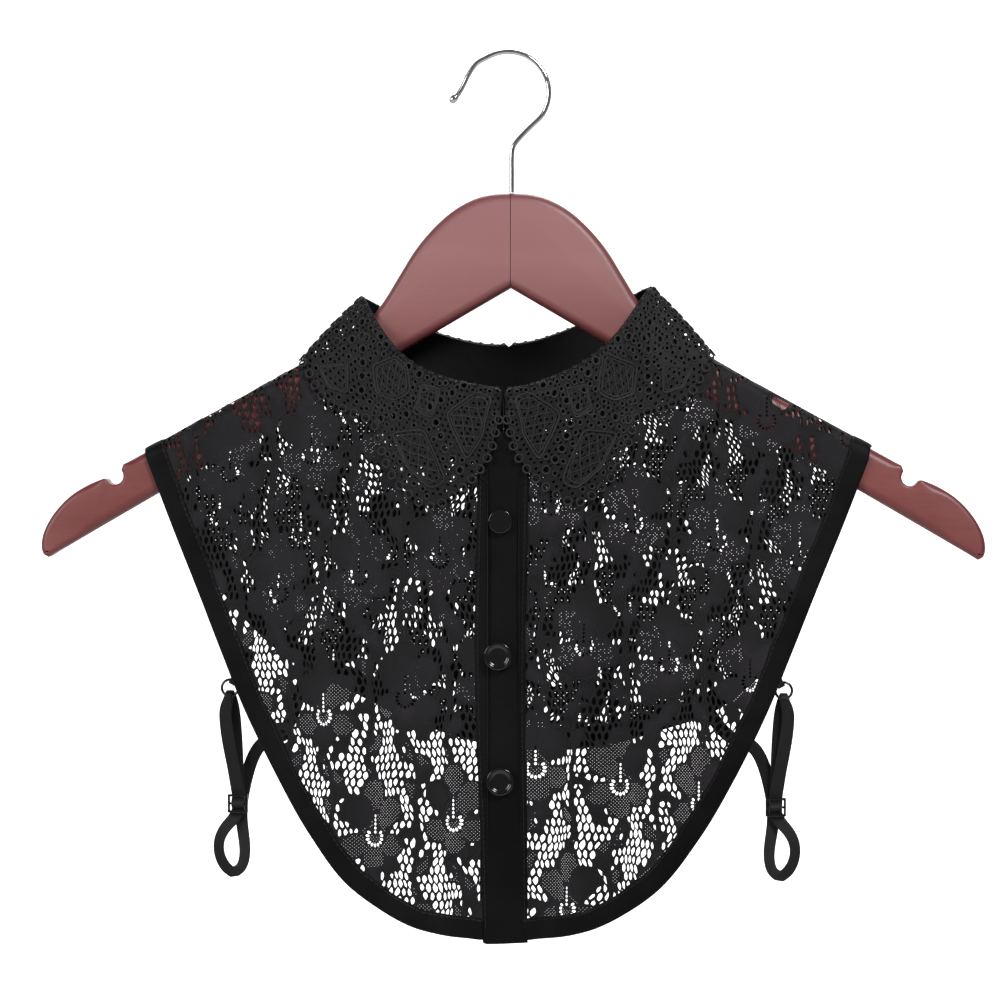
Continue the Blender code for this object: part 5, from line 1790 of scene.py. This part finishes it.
@dataclass
class GuipureLeaf:
    """One leaf of the collar: a ground of fine bars with cords, corded medallions and rings on it."""

    side: int
    name: str
    ground_lift: float = 0.30
    ground_wall: float = 0.36
    ring_pitch: float = 6.15
    ring_radius: float = 1.86
    ring_cord: float = 0.44
    cord: float = 0.46
    bar: float = 0.33
    eye_radius: float = 1.3
    ground_pitch: float = 2.9
    ground_hole: float = 0.72
    edge_inset: float = 2.7
    loop_pitch: float = 4.3
    loop_radius: float = 1.25
    loop_cord: float = 0.36
    loop_eye: float = 0.85
    grid: Array = field(init=False)
    normals: Array = field(init=False)
    lengths: Array = field(init=False)
    run: Array = field(init=False)
    faces_of: list[Face] = field(init=False)

    def __post_init__(self) -> None:
        """Work out the leaf's under face on an even grid."""
        stations = NECK.leaf_stations()
        lines = [NECK.line(face, self.side, ray) for face, ray in stations]
        self.grid = np.array([resampled(line, 40) for line in lines])
        normals = grid_normals(self.grid)
        if normals[12, 30, 1] > 0:
            normals = -normals
        normals[0, :, 0] = normals[-1, :, 0] = 0.0
        self.normals = normals / np.linalg.norm(normals, axis=-1, keepdims=True)
        self.lengths = np.linalg.norm(np.diff(self.grid, axis=1), axis=-1).sum(axis=1)
        self.run = along_line(self.grid[:, 20])
        self.faces_of = [face for face, _ in stations]

    def read(self, table: Array, station: Array, share: Array) -> Array:
        """Read a grid between its rows and columns."""
        rows, columns = table.shape[:2]
        i = np.clip(station, 0, rows - 1.001)
        j = np.clip(share * (columns - 1), 0, columns - 1.001)
        i0, j0 = i.astype(int), j.astype(int)
        u, v = (i - i0)[:, None], (j - j0)[:, None]
        return (
            table[i0, j0] * (1 - u) * (1 - v)
            + table[i0 + 1, j0] * u * (1 - v)
            + table[i0, j0 + 1] * (1 - u) * v
            + table[i0 + 1, j0 + 1] * u * v
        )

    def at(self, station: Array, share: Array, lift: Array | float) -> Array:
        """Points of the leaf, standing out of its under face."""
        height = np.broadcast_to(np.asarray(lift, float), np.shape(station))[:, None]
        return self.read(self.grid, station, share) + self.out(station, share) * height

    def out(self, station: Array, share: Array) -> Array:
        """Unit normals of the leaf."""
        normal = self.read(self.normals, station, share)
        return normal / np.maximum(np.linalg.norm(normal, axis=1, keepdims=True), 1e-9)

    def find(self, face: Face, places: Array) -> tuple[Array, Array]:
        """Find places seen from the front or from behind on the leaf.

        Args:
            face: Which part of the leaf the places are on.
            places: Distances from the centre line and heights.

        Returns:
            The stations and the shares across the leaf.
        """
        stations = np.arange(0.0, len(self.faces_of) - 1, 0.25)
        stations = stations[[self.faces_of[int(round(s))] is face for s in stations]]
        shares = np.linspace(0.08, 0.99, 90)
        s, v = (g.ravel() for g in np.meshgrid(stations, shares, indexing="ij"))
        seen = self.read(self.grid, s, v)
        flat = np.stack([self.side * (seen[:, 0] - DRAPE.centre_x), seen[:, 2]], axis=1)
        index = [int(np.argmin(((flat - p) ** 2).sum(axis=1))) for p in places]
        return s[index], v[index]

    def flat(self, station: Array, share: Array) -> Array:
        """Lay places of the leaf out flat, by its length and its breadth."""
        whole = np.arange(len(self.lengths))
        length = np.interp(station, whole, self.lengths)
        return np.stack([np.interp(station, whole, self.run), share * length], axis=1)

    def unflat(self, places: Array) -> tuple[Array, Array]:
        """Find flat places on the leaf again."""
        whole = np.arange(len(self.lengths))
        station = np.interp(places[:, 0], self.run, whole)
        length = np.interp(station, whole, self.lengths)
        return station, np.clip(places[:, 1] / length, 0.0, 1.0)

    def border(self) -> tuple[Array, Array]:
        """Ring centres along the outer edge."""
        inset = self.ring_radius + self.ring_cord + 0.1
        share = 1.0 - inset / self.lengths
        whole = np.arange(len(self.lengths), dtype=float)
        line = self.at(whole, share, 0.0)
        along = along_line(line)
        count = int(round((along[-1] - 6.0) / self.ring_pitch))
        places = np.linspace(3.0, along[-1] - 3.0, count + 1)
        station = np.interp(places, along, whole)
        return station, np.interp(station, whole, share)

    def fold_rings(self) -> tuple[Array, Array]:
        """Picots along the fold."""
        whole = np.arange(len(self.lengths), dtype=float)
        share = 2.4 / self.lengths
        line = self.at(whole, share, 0.0)
        along = along_line(line)
        count = int(round(along[-1] / 5.4))
        station = np.interp(np.linspace(2.5, along[-1] - 2.5, count), along, whole)
        return station, np.interp(station, whole, share)

    def ring(self, pile: Pile, station: float, share: float, radius: float, cord: float) -> None:
        """Add one corded ring."""
        centre = self.at(np.array([station]), np.array([share]), self.ground_lift + 0.55)[0]
        normal = self.out(np.array([station]), np.array([share]))[0]
        beside = np.cross(normal, (0.0, 0.0, 1.0))
        beside = beside / max(np.linalg.norm(beside), 1e-9)
        high = np.cross(beside, normal)
        turn = 2 * math.pi * np.arange(12) / 12
        wobble = radius * (1.0 + 0.05 * np.sin(2 * turn + station))
        circle = centre + (beside * np.cos(turn)[:, None] + high * np.sin(turn)[:, None]) * wobble[:, None]
        normals = np.repeat(normal[None], 12, axis=0)
        pile.tube(circle, normals, cord, 5, 0.85, closed=True)

    def strand(self, pile: Pile, station: Array, share: Array, radius: float, closed: bool = False) -> None:
        """Add a cord through places of the leaf."""
        points = self.at(station, share, self.ground_lift + self.ground_wall + radius * 0.5)
        pile.tube(points, self.out(station, share), radius, 5, 0.85, closed=closed)

    def medallion(self, pile: Pile, face: Face, corners: Sequence[tuple[float, float]]) -> Array:
        """Add a corded medallion with a square filling, and return its outline on the flat leaf."""
        ring = resampled(np.array(corners), 44, closed=True)
        station, share = self.find(face, ring)
        outline = smooth_closed(self.flat(station, share))
        self.strand(pile, *self.unflat(outline), self.cord, closed=True)
        inner = outline.mean(axis=0) + (outline - outline.mean(axis=0)) * 0.86
        self.strand(pile, *self.unflat(inner), self.bar, closed=True)
        low, high = outline.min(axis=0), outline.max(axis=0)
        for axis in (0, 1):
            for value in np.arange(low[axis] + 2.4, high[axis] - 1.2, 4.7):
                other = np.linspace(low[1 - axis], high[1 - axis], 40)
                line = np.stack([np.full(40, value), other], axis=1)
                if axis == 1:
                    line = line[:, ::-1]
                bend = 0.25 * np.sin(other / 1.9)
                line[:, axis] += bend
                for run in runs_of(inside_outline(line, inner) > 0):
                    if len(run) > 2:
                        self.strand(pile, *self.unflat(line[run][::2]), self.bar)
        return outline

    def build(self, material: bpy.types.Material) -> bpy.types.Object:
        """Make the leaf."""
        pile = Pile()
        outlines = [self.medallion(pile, Face.FRONT, corners) for corners in FRONT_MEDALLIONS]
        outlines += [self.medallion(pile, Face.BACK, corners) for corners in BACK_MEDALLIONS]
        places = [self.flat(*self.border())]
        for station, share in zip(*self.fold_rings()):
            self.ring(pile, float(station), float(share), 0.8, 0.36)
        for face, rows in ((Face.FRONT, FRONT_RING_ROWS), (Face.BACK, BACK_RING_ROWS)):
            for a0, z0, a1, z1, count, sag in rows:
                part = np.linspace(0.0, 1.0, count)
                line = np.stack([a0 + (a1 - a0) * part, z0 + (z1 - z0) * part], axis=1)
                run = np.array([a1 - a0, z1 - z0])
                beside = np.array([-run[1], run[0]]) / np.linalg.norm(run)
                line = line + beside * (sag * np.sin(math.pi * part))[:, None]
                places.append(self.flat(*self.find(face, line)))
        centres = np.vstack(places)
        for station, share in zip(*self.unflat(centres)):
            self.ring(pile, float(station), float(share), self.ring_radius, self.ring_cord)
        loops = self.loops(centres, outlines)
        for station, share in zip(*self.unflat(loops)):
            self.ring(pile, float(station), float(share), self.loop_radius, self.loop_cord)
        self.ground(pile, centres, loops)
        piece = turned_out(pile.build(self.name, material))
        breadth = (self.lengths[1:] + self.lengths[:-1]) / 2
        area = float((np.diff(self.run) * breadth).sum())
        hung(piece, float(self.lengths.max()), float(self.run[-1]), area)
        return piece

    def domain(self) -> Array:
        """The ground's outline on the flat leaf."""
        whole = np.linspace(0.0, len(self.lengths) - 1.001, 260)
        length = np.interp(whole, np.arange(len(self.lengths)), self.lengths)
        top = self.flat(whole, 1.0 - self.edge_inset / length)
        low = self.flat(whole, np.zeros(len(whole)))
        return np.vstack([low, top[::-1]])

    def loops(self, centres: Array, outlines: list[Array]) -> Array:
        """Places of the small loops between the rings and the medallions."""
        box = (2.5, self.run[-1], 5.0, self.lengths.max())
        spots = staggered(box, self.loop_pitch, self.loop_pitch * 0.9)
        spots = spots + 0.5 * np.sin(spots[:, ::-1] * 0.9)
        away = np.linalg.norm(spots[:, None] - centres[None], axis=-1).min(axis=1)
        clear = (away > self.ring_radius + self.loop_radius + 0.7) & (inside_outline(spots, self.domain()) > 2.2)
        for outline in outlines:
            clear &= inside_outline(spots, outline) < -self.loop_radius - 0.6
        return spots[clear]

    def ground(self, pile: Pile, centres: Array, loops: Array) -> None:
        """Add the ground, with an eye in each ring and loop and small openings between the bars."""
        outline = self.domain()
        turn = 2 * math.pi * np.arange(8) / 8
        circle = np.stack([np.cos(turn), np.sin(turn)], axis=1)
        holes = [c + circle * self.eye_radius for c in centres]
        holes += [c + circle * self.loop_eye for c in loops]
        box = (0.8, self.run[-1], 1.5, self.lengths.max())
        spots = staggered(box, self.ground_pitch, self.ground_pitch * 0.866)
        spots = spots + 0.25 * np.sin(spots[:, ::-1] * 1.7)
        away = np.linalg.norm(spots[:, None] - centres[None], axis=-1).min(axis=1)
        near = np.linalg.norm(spots[:, None] - loops[None], axis=-1).min(axis=1)
        clear = (away > self.eye_radius + self.ground_hole + 0.3) & (inside_outline(spots, outline) > 1.0)
        clear &= near > self.loop_eye + self.ground_hole + 0.3
        corner = 2 * math.pi * np.arange(6) / 6
        hexagon = np.stack([np.cos(corner), np.sin(corner)], axis=1)
        holes = [h for h in holes if (inside_outline(h, outline) > 0.3).all()]
        holes += [spot + hexagon * self.ground_hole for spot in spots[clear]]
        flat, triangles = CutSheet(outline, holes).triangles()
        station, share = self.unflat(flat)
        low_face = self.at(station, share, self.ground_lift)
        high_face = self.at(station, share, self.ground_lift + self.ground_wall)
        points, faces = sheet_solid(flat, triangles, low_face, high_face)
        # a filling of 0.08 gives the ground nearly all of the guipure's painted shade colour
        pile.add(points, faces, np.vstack([flat, flat]), 0.08)


def smooth_closed(line: Array) -> Array:
    """Smooth a closed line a little."""
    for _ in range(2):
        line = (np.roll(line, 1, axis=0) + 2 * line + np.roll(line, -1, axis=0)) / 4
    return line


def smooth_copy(
    node: str, name: str, width: float, material: bpy.types.Material, levels: int = 0
) -> bpy.types.Object:
    """Work over a copy of a solid: merge it, break its edges and smooth it.

    Args:
        node: The solid's node.
        name: The new piece's name.
        width: How wide its edges are broken.
        material: The new piece's material.
        levels: How often its faces are divided and smoothed.

    Returns:
        The new piece.
    """
    piece = frame["nodes"][node].copy()
    piece.data = piece.data.copy()
    piece.name = piece.data.name = name
    bpy.context.scene.collection.objects.link(piece)
    take(piece)
    bpy.ops.object.transform_apply(location=True, rotation=True, scale=True)
    bpy.ops.object.mode_set(mode="EDIT")
    bpy.ops.mesh.select_all(action="SELECT")
    bpy.ops.mesh.remove_doubles(threshold=0.00001)
    bpy.ops.object.mode_set(mode="OBJECT")
    if width:
        bevel = piece.modifiers.new("bevel", "BEVEL")
        bevel.width, bevel.segments, bevel.limit_method = width * MM, 2, "ANGLE"
        bpy.ops.object.modifier_apply(modifier=bevel.name)
    if levels:
        divide = piece.modifiers.new("divide", "SUBSURF")
        divide.levels = levels
        bpy.ops.object.modifier_apply(modifier=divide.name)
    piece.data.materials.clear()
    piece.data.materials.append(material)
    return settle(piece, 40.0)


@dataclass
class HangerArm:
    """One arm of the wooden hanger, rounded all round, with its notch."""

    side: int
    half_thickness: float = 6.0
    edge_round: float = 4.5
    lip_round: float = 1.4
    tip_round: float = 2.6
    glue_gap: float = 0.15
    notch: tuple[float, float] = (187.4, -199.0)
    notch_radius: float = 4.1
    apex_z: float = -110.3
    underside_slope: float = 0.58
    arc_steps: int = 7

    def outline(self) -> tuple[Array, Array]:
        """The arm's outline from the crest to the apex, and the rounding at each point."""
        top = smooth_line(HANGER_TOP, 5)
        top[0, 0] = self.glue_gap
        nose = smooth_line(HANGER_NOSE, 5)
        start = math.atan2(top[-1, 1] - self.notch[1], top[-1, 0] - self.notch[0])
        end = math.atan2(nose[0, 1] - self.notch[1], nose[0, 0] - self.notch[0]) + 2 * math.pi
        turn = np.linspace(start, end, 18)[1:-1]
        arc = np.stack([np.cos(turn), np.sin(turn)], axis=1) * self.notch_radius + self.notch
        x = np.concatenate([np.linspace(214.0, 4.0, 60), [self.glue_gap]])
        under = np.stack([x, self.apex_z - self.underside_slope * x], axis=1)
        points = np.vstack([top, arc, nose, under])
        off = np.hypot(points[:, 0] - self.notch[0], points[:, 1] - self.notch[1])
        lip = 1.0 - ease((off - self.notch_radius) / 9.0)
        lip[-len(under) :] = 0.0
        tip = ease((points[:, 0] - 196.0) / 12.0)
        rounding = self.edge_round + (self.tip_round - self.edge_round) * tip
        rounding = rounding + (self.lip_round - rounding) * lip
        return points, rounding

    def build(self, wood: bpy.types.Material) -> bpy.types.Object:
        """Make the arm."""
        points, rounding = self.outline()
        run = np.gradient(points, axis=0)
        run = run / np.linalg.norm(run, axis=1, keepdims=True)
        inside = np.stack([run[:, 1], -run[:, 0]], axis=1)
        inside[0], inside[-1] = (0.0, -1.0), (0.0, 1.0)
        turns = np.radians(np.linspace(90.0, 0.0, self.arc_steps))
        rings, edge = [], []
        for sign in (-1.0, 1.0):
            for turn in turns if sign < 0 else turns[::-1]:
                moved = points + inside * (rounding * (1.0 - math.cos(turn)))[:, None]
                y = sign * (self.half_thickness - rounding * (1.0 - math.sin(turn)))
                rings.append(np.stack([self.side * moved[:, 0], y, moved[:, 1]], axis=1))
                # share of painted edge shade: 0 on the flat faces, 1 at the outer rim of the rounding
                edge.append(np.full(len(points), 1.0 - float(turn) / (math.pi / 2)))
        grid = np.array(rings)
        count = len(points)
        faces = []
        for i in range(len(grid) - 1):
            for k in range(count - 1):
                a = i * count + k
                faces.append((a, a + 1, a + 1 + count, a + count))
        last = (len(grid) - 1) * count
        faces.append(tuple(range(count))[::-1])
        faces.append(tuple(last + k for k in range(count)))
        ends = [i * count for i in range(len(grid))] + [i * count + count - 1 for i in range(len(grid))][::-1]
        faces.append(tuple(ends))
        pile = Pile()
        # the painted edge shade rides in the filling attribute
        pile.add(grid.reshape(-1, 3), faces, None, np.concatenate(edge) ** 0.6)
        name = "wood_arm_right" if self.side > 0 else "wood_arm_left"
        return turned_out(pile.build(name, wood, 40.0))


@dataclass
class Hook:
    """The bent wire hook with its ball end."""

    radius: float = 1.2
    centre: tuple[float, float] = (-1.5, -18.1)
    bend: float = 19.3
    foot: tuple[tuple[float, float], ...] = (
        (0.3, -65.2),
        (0.3, -56.0),
        (0.3, -48.0),
        (0.9, -43.8),
        (3.4, -40.2),
        (8.0, -35.4),
    )
    nose: tuple[tuple[float, float, float], ...] = (
        # x, z, wire radius
        (-16.4, -4.4, 1.2),
        (-20.2, -9.6, 1.2),
        (-22.8, -15.0, 1.2),
        (-24.9, -18.6, 1.2),
        (-25.6, -19.4, 1.25),
        (-26.3, -20.1, 1.75),
        (-27.2, -21.0, 1.9),
        (-28.1, -21.9, 1.6),
        (-28.8, -22.6, 0.7),
    )

    def build(self, wire: bpy.types.Material) -> bpy.types.Object:
        """Bend the wire along a curve and make it a mesh."""
        turn = np.radians(np.arange(-36.0, 121.0, 12.0))
        bend = np.stack([np.cos(turn), np.sin(turn)], axis=1) * self.bend + self.centre
        rows = [(x, z, self.radius) for x, z in (*self.foot, *bend)] + list(self.nose)
        line = smooth_line(np.array(rows), 6)
        data = bpy.data.curves.new("hook_steel", "CURVE")
        data.dimensions, data.fill_mode = "3D", "FULL"
        data.bevel_depth, data.bevel_resolution, data.use_fill_caps = MM, 5, True
        spline = data.splines.new("POLY")
        spline.points.add(len(line) - 1)
        for point, (x, z, radius) in zip(spline.points, line):
            point.co, point.radius = (x * MM, 0.0, z * MM, 1.0), radius
        piece = bpy.data.objects.new("hook_steel", data)
        bpy.context.scene.collection.objects.link(piece)
        take(piece)
        bpy.ops.object.convert(target="MESH")
        piece = bpy.context.view_layer.objects.active
        piece.data.materials.clear()
        piece.data.materials.append(wire)
        return turned_out(settle(piece, 50.0))


@dataclass
class Button:
    """A round gloss button with a raised rim and a dished middle."""

    name: str
    place: tuple[float, float]
    radius: float = 6.5
    thickness: float = 2.8
    gap: float = 0.3
    under: float = 1.7

    def build(self, gloss: bpy.types.Material) -> bpy.types.Object:
        """Model the button from a short cylinder."""
        x, z = self.place
        across = np.full(3, x - DRAPE.centre_x)
        places = DRAPE.point(Face.FRONT, across, z + np.array([-1.0, 0.0, 1.0]) * self.radius, self.under)
        base = float(places[:, 1].min()) - self.gap
        deselect()
        bpy.ops.mesh.primitive_cylinder_add(
            vertices=72,
            radius=self.radius * MM,
            depth=self.thickness * MM,
            location=(x * MM, (base - self.thickness / 2) * MM, z * MM),
            rotation=(math.radians(90), 0.0, 0.0),
        )
        piece = bpy.context.view_layer.objects.active
        piece.name = piece.data.name = self.name
        for face in piece.data.polygons:
            face.select = face.normal.z > 0.9
        bpy.ops.object.mode_set(mode="EDIT")
        bpy.ops.mesh.select_mode(type="FACE")
        for thickness, depth in ((1.5, 0.0), (0.35, -0.55), (0.35, -0.35), (1.2, -0.06)):
            bpy.ops.mesh.inset(thickness=thickness * MM, depth=depth * MM)
        bpy.ops.object.mode_set(mode="OBJECT")
        bevel = piece.modifiers.new("bevel", "BEVEL")
        bevel.width, bevel.segments, bevel.limit_method = 0.7 * MM, 6, "ANGLE"
        bpy.ops.object.modifier_apply(modifier=bevel.name)
        piece.data.materials.append(gloss)
        return turned_out(settle(piece, 50.0))


@dataclass
class WireRing:
    """The round wire ring between a tab and a strap."""

    side: int
    centre: tuple[float, float, float] = (130.7, -2.0, -299.3)
    radius: float = 3.9
    wire: float = 0.65

    def build(self, gloss: bpy.types.Material) -> bpy.types.Object:
        """Model the ring from a torus."""
        a, y, z = self.centre
        deselect()
        bpy.ops.mesh.primitive_torus_add(
            major_radius=self.radius * MM,
            minor_radius=self.wire * MM,
            major_segments=48,
            minor_segments=12,
            location=((DRAPE.centre_x + self.side * a) * MM, y * MM, z * MM),
            rotation=(math.radians(90), 0.0, 0.0),
        )
        piece = bpy.context.view_layer.objects.active
        piece.name = piece.data.name = "wire_ring_right" if self.side > 0 else "wire_ring_left"
        piece.data.materials.append(gloss)
        return settle(piece, 60.0)


@dataclass
class Studio:
    """A plain pale floor and backdrop, soft lights and the camera."""

    target: tuple[float, float, float] = (-4.96, 0.0, -210.1)
    distance: float = 1600.0
    yaw: float = 2.98
    pitch: float = 0.61
    roll: float = 0.10
    view_width: float = 472.0
    sensor: float = 36.0
    floor_z: float = -1300.0
    backdrop_y: float = 3300.0
    backdrop_top: float = 4200.0
    half_span: float = 6000.0
    sky_strength: float = 0.16
    aim: tuple[float, float, float] = (0.0, 0.0, -230.0)
    lights: tuple[tuple[str, tuple[float, float, float], float, float], ...] = (
        # name, place, size, power in watts
        ("key", (900.0, -1400.0, 1000.0), 600.0, 44.0),
        ("fill", (-1400.0, -1200.0, 300.0), 900.0, 24.0),
        ("rim", (0.0, 1200.0, 1200.0), 900.0, 20.0),
    )

    def camera(self) -> None:
        """Set up the camera at the photograph's angle."""
        yaw, pitch = math.radians(self.yaw), math.radians(self.pitch)
        back = Vector((math.sin(yaw) * math.cos(pitch), -math.cos(yaw) * math.cos(pitch), math.sin(pitch)))
        data = bpy.data.cameras.new("camera")
        data.sensor_width = self.sensor
        data.lens = self.sensor * self.distance / self.view_width
        data.clip_start, data.clip_end = 0.05, 20.0
        camera = bpy.data.objects.new("camera", data)
        bpy.context.scene.collection.objects.link(camera)
        camera.location = (Vector(self.target) + back * self.distance) * MM
        turn = (-back).to_track_quat("-Z", "Y").to_matrix()
        camera.rotation_euler = (turn @ Matrix.Rotation(math.radians(self.roll), 3, "Z")).to_euler()
        bpy.context.scene.camera = camera

    def plain(
        self, name: str, corners: Sequence[tuple[float, float, float]], colour: Colour, glow: float
    ) -> None:
        """Add a plain pale plane of the studio."""
        mesh = bpy.data.meshes.new(name)
        mesh.from_pydata([Vector(c) * MM for c in corners], [], [(0, 1, 2, 3)])
        mix = Recipe(name, Base_Color=colour, Roughness=0.9, Emission_Color=colour, Emission_Strength=glow)
        mesh.materials.append(mix.finish())
        plane = bpy.data.objects.new(name, mesh)
        bpy.context.scene.collection.objects.link(plane)

    def light(self, name: str, place: tuple[float, float, float], size: float, power: float) -> None:
        """Add a soft square light that aims at the collar."""
        data = bpy.data.lights.new(name, "AREA")
        data.shape, data.size, data.energy = "SQUARE", size * MM, power
        lamp = bpy.data.objects.new(name, data)
        bpy.context.scene.collection.objects.link(lamp)
        lamp.location = Vector(place) * MM
        lamp.rotation_euler = (Vector(self.aim) - Vector(place)).to_track_quat("-Z", "Y").to_euler()

    def build(self) -> None:
        """Make the studio."""
        wide, high, low, y = self.half_span, self.backdrop_top, self.floor_z, self.backdrop_y
        backdrop = [(-wide, y, low), (wide, y, low), (wide, y, high), (-wide, y, high)]
        floor = [(-wide, -wide, low), (wide, -wide, low), (wide, y, low), (-wide, y, low)]
        self.plain("backdrop", backdrop, (1.0, 1.0, 1.0), 1.0)
        self.plain("floor", floor, (0.82, 0.82, 0.82), 0.0)
        world = bpy.data.worlds.new("studio")
        bpy.context.scene.world = world
        world.use_nodes = True
        sky = world.node_tree.nodes["Background"]
        sky.inputs[0].default_value = (1.0, 1.0, 1.0, 1.0)
        sky.inputs[1].default_value = self.sky_strength
        for name, place, size, power in self.lights:
            self.light(name, place, size, power)
        bpy.context.scene.view_settings.view_transform = "Standard"
        self.camera()


def carry(piece: bpy.types.Object, nodes: Sequence[str] = ()) -> None:
    """Let a piece ride on the body and hide the solids that it stands in for."""
    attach(piece, BODY)
    if nodes:
        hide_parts(*nodes)


def main() -> None:
    """Build the pieces in order."""
    logging.basicConfig(level=logging.INFO, format="%(message)s")
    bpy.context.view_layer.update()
    lace = LaceFinish().material()
    guipure = GuipureFinish().material()
    satin = SatinFinish().material()
    elastic = ElasticFinish().material()
    wood = WoodFinish().material()
    wire = WireFinish().material()
    button_gloss = GlossFinish("button_plastic").material()
    thread = ThreadFinish().material()

    coarse = LacePattern((33.0, -318.0), 1, mesh_pitch=2.6, mesh_half=0.26)
    panels = (
        LacePanel("front_lace_right", Face.FRONT, (1,), "front_right", LacePattern((14.7, -335.0), 1)),
        LacePanel("front_lace_left", Face.FRONT, (-1,), "front_left", LacePattern((22.5, -360.0), -1)),
        LacePanel("back_lace", Face.BACK, (1, -1), "back", coarse),
    )
    for panel in panels:
        carry(panel.build(lace), [panel.node])
    bindings = (
        Binding("front_binding_satin_right", Face.FRONT, (1,), "front_binding_right"),
        Binding("front_binding_satin_left", Face.FRONT, (-1,), "front_binding_left"),
        Binding("back_binding_satin", Face.BACK, (1, -1), "back_binding"),
    )
    for binding in bindings:
        band, seam = binding.build(satin, thread)
        carry(band, [binding.node])
        carry(seam)
    placket = Placket()
    band, seam = placket.build(satin, thread)
    carry(band, ["placket"])
    carry(seam)
    carry(placket.stand(satin), ["button_stand"])
    carry(Neckband().build(satin), ["neckband"])
    for side, name in SIDES:
        leaf = GuipureLeaf(side, f"guipure_{name}")
        carry(leaf.build(guipure), [f"collar_{name}"])

    for side, name in SIDES:
        carry(HangerArm(side).build(wood), [f"hanger_{name}"])
        carry(WireRing(side).build(button_gloss), [f"ring_{name}"])
        for node, new_name, width, material, slot, levels in (
            ("tab", "elastic_tab", 0.3, elastic, "elastic", 2),
            ("strap", "elastic_strap", 0.4, elastic, "elastic", 2),
            ("slider", "wire_slider", 0.3, button_gloss, "coated_wire", 0),
        ):
            piece = smooth_copy(f"{node}_{name}", f"{new_name}_{name}", width, material, levels)
            carry(piece, [f"{node}_{name}"])
    carry(Hook().build(wire), ["hook"])
    for name, place in (("top", (-3.3, -219.7)), ("middle", (-4.4, -282.4)), ("bottom", (-3.3, -340.8))):
        carry(Button(f"gloss_button_{name}", place).build(button_gloss), [f"button_{name}"])
    log.info("hard pieces done")
    Studio().build()
    shown = [thing for thing in bpy.data.objects if thing.type == "MESH"]
    total = sum(len(face.vertices) - 2 for thing in shown for face in thing.data.polygons)
    log.info("all pieces: %d triangles", total)


if __name__ == "__main__":
    main()
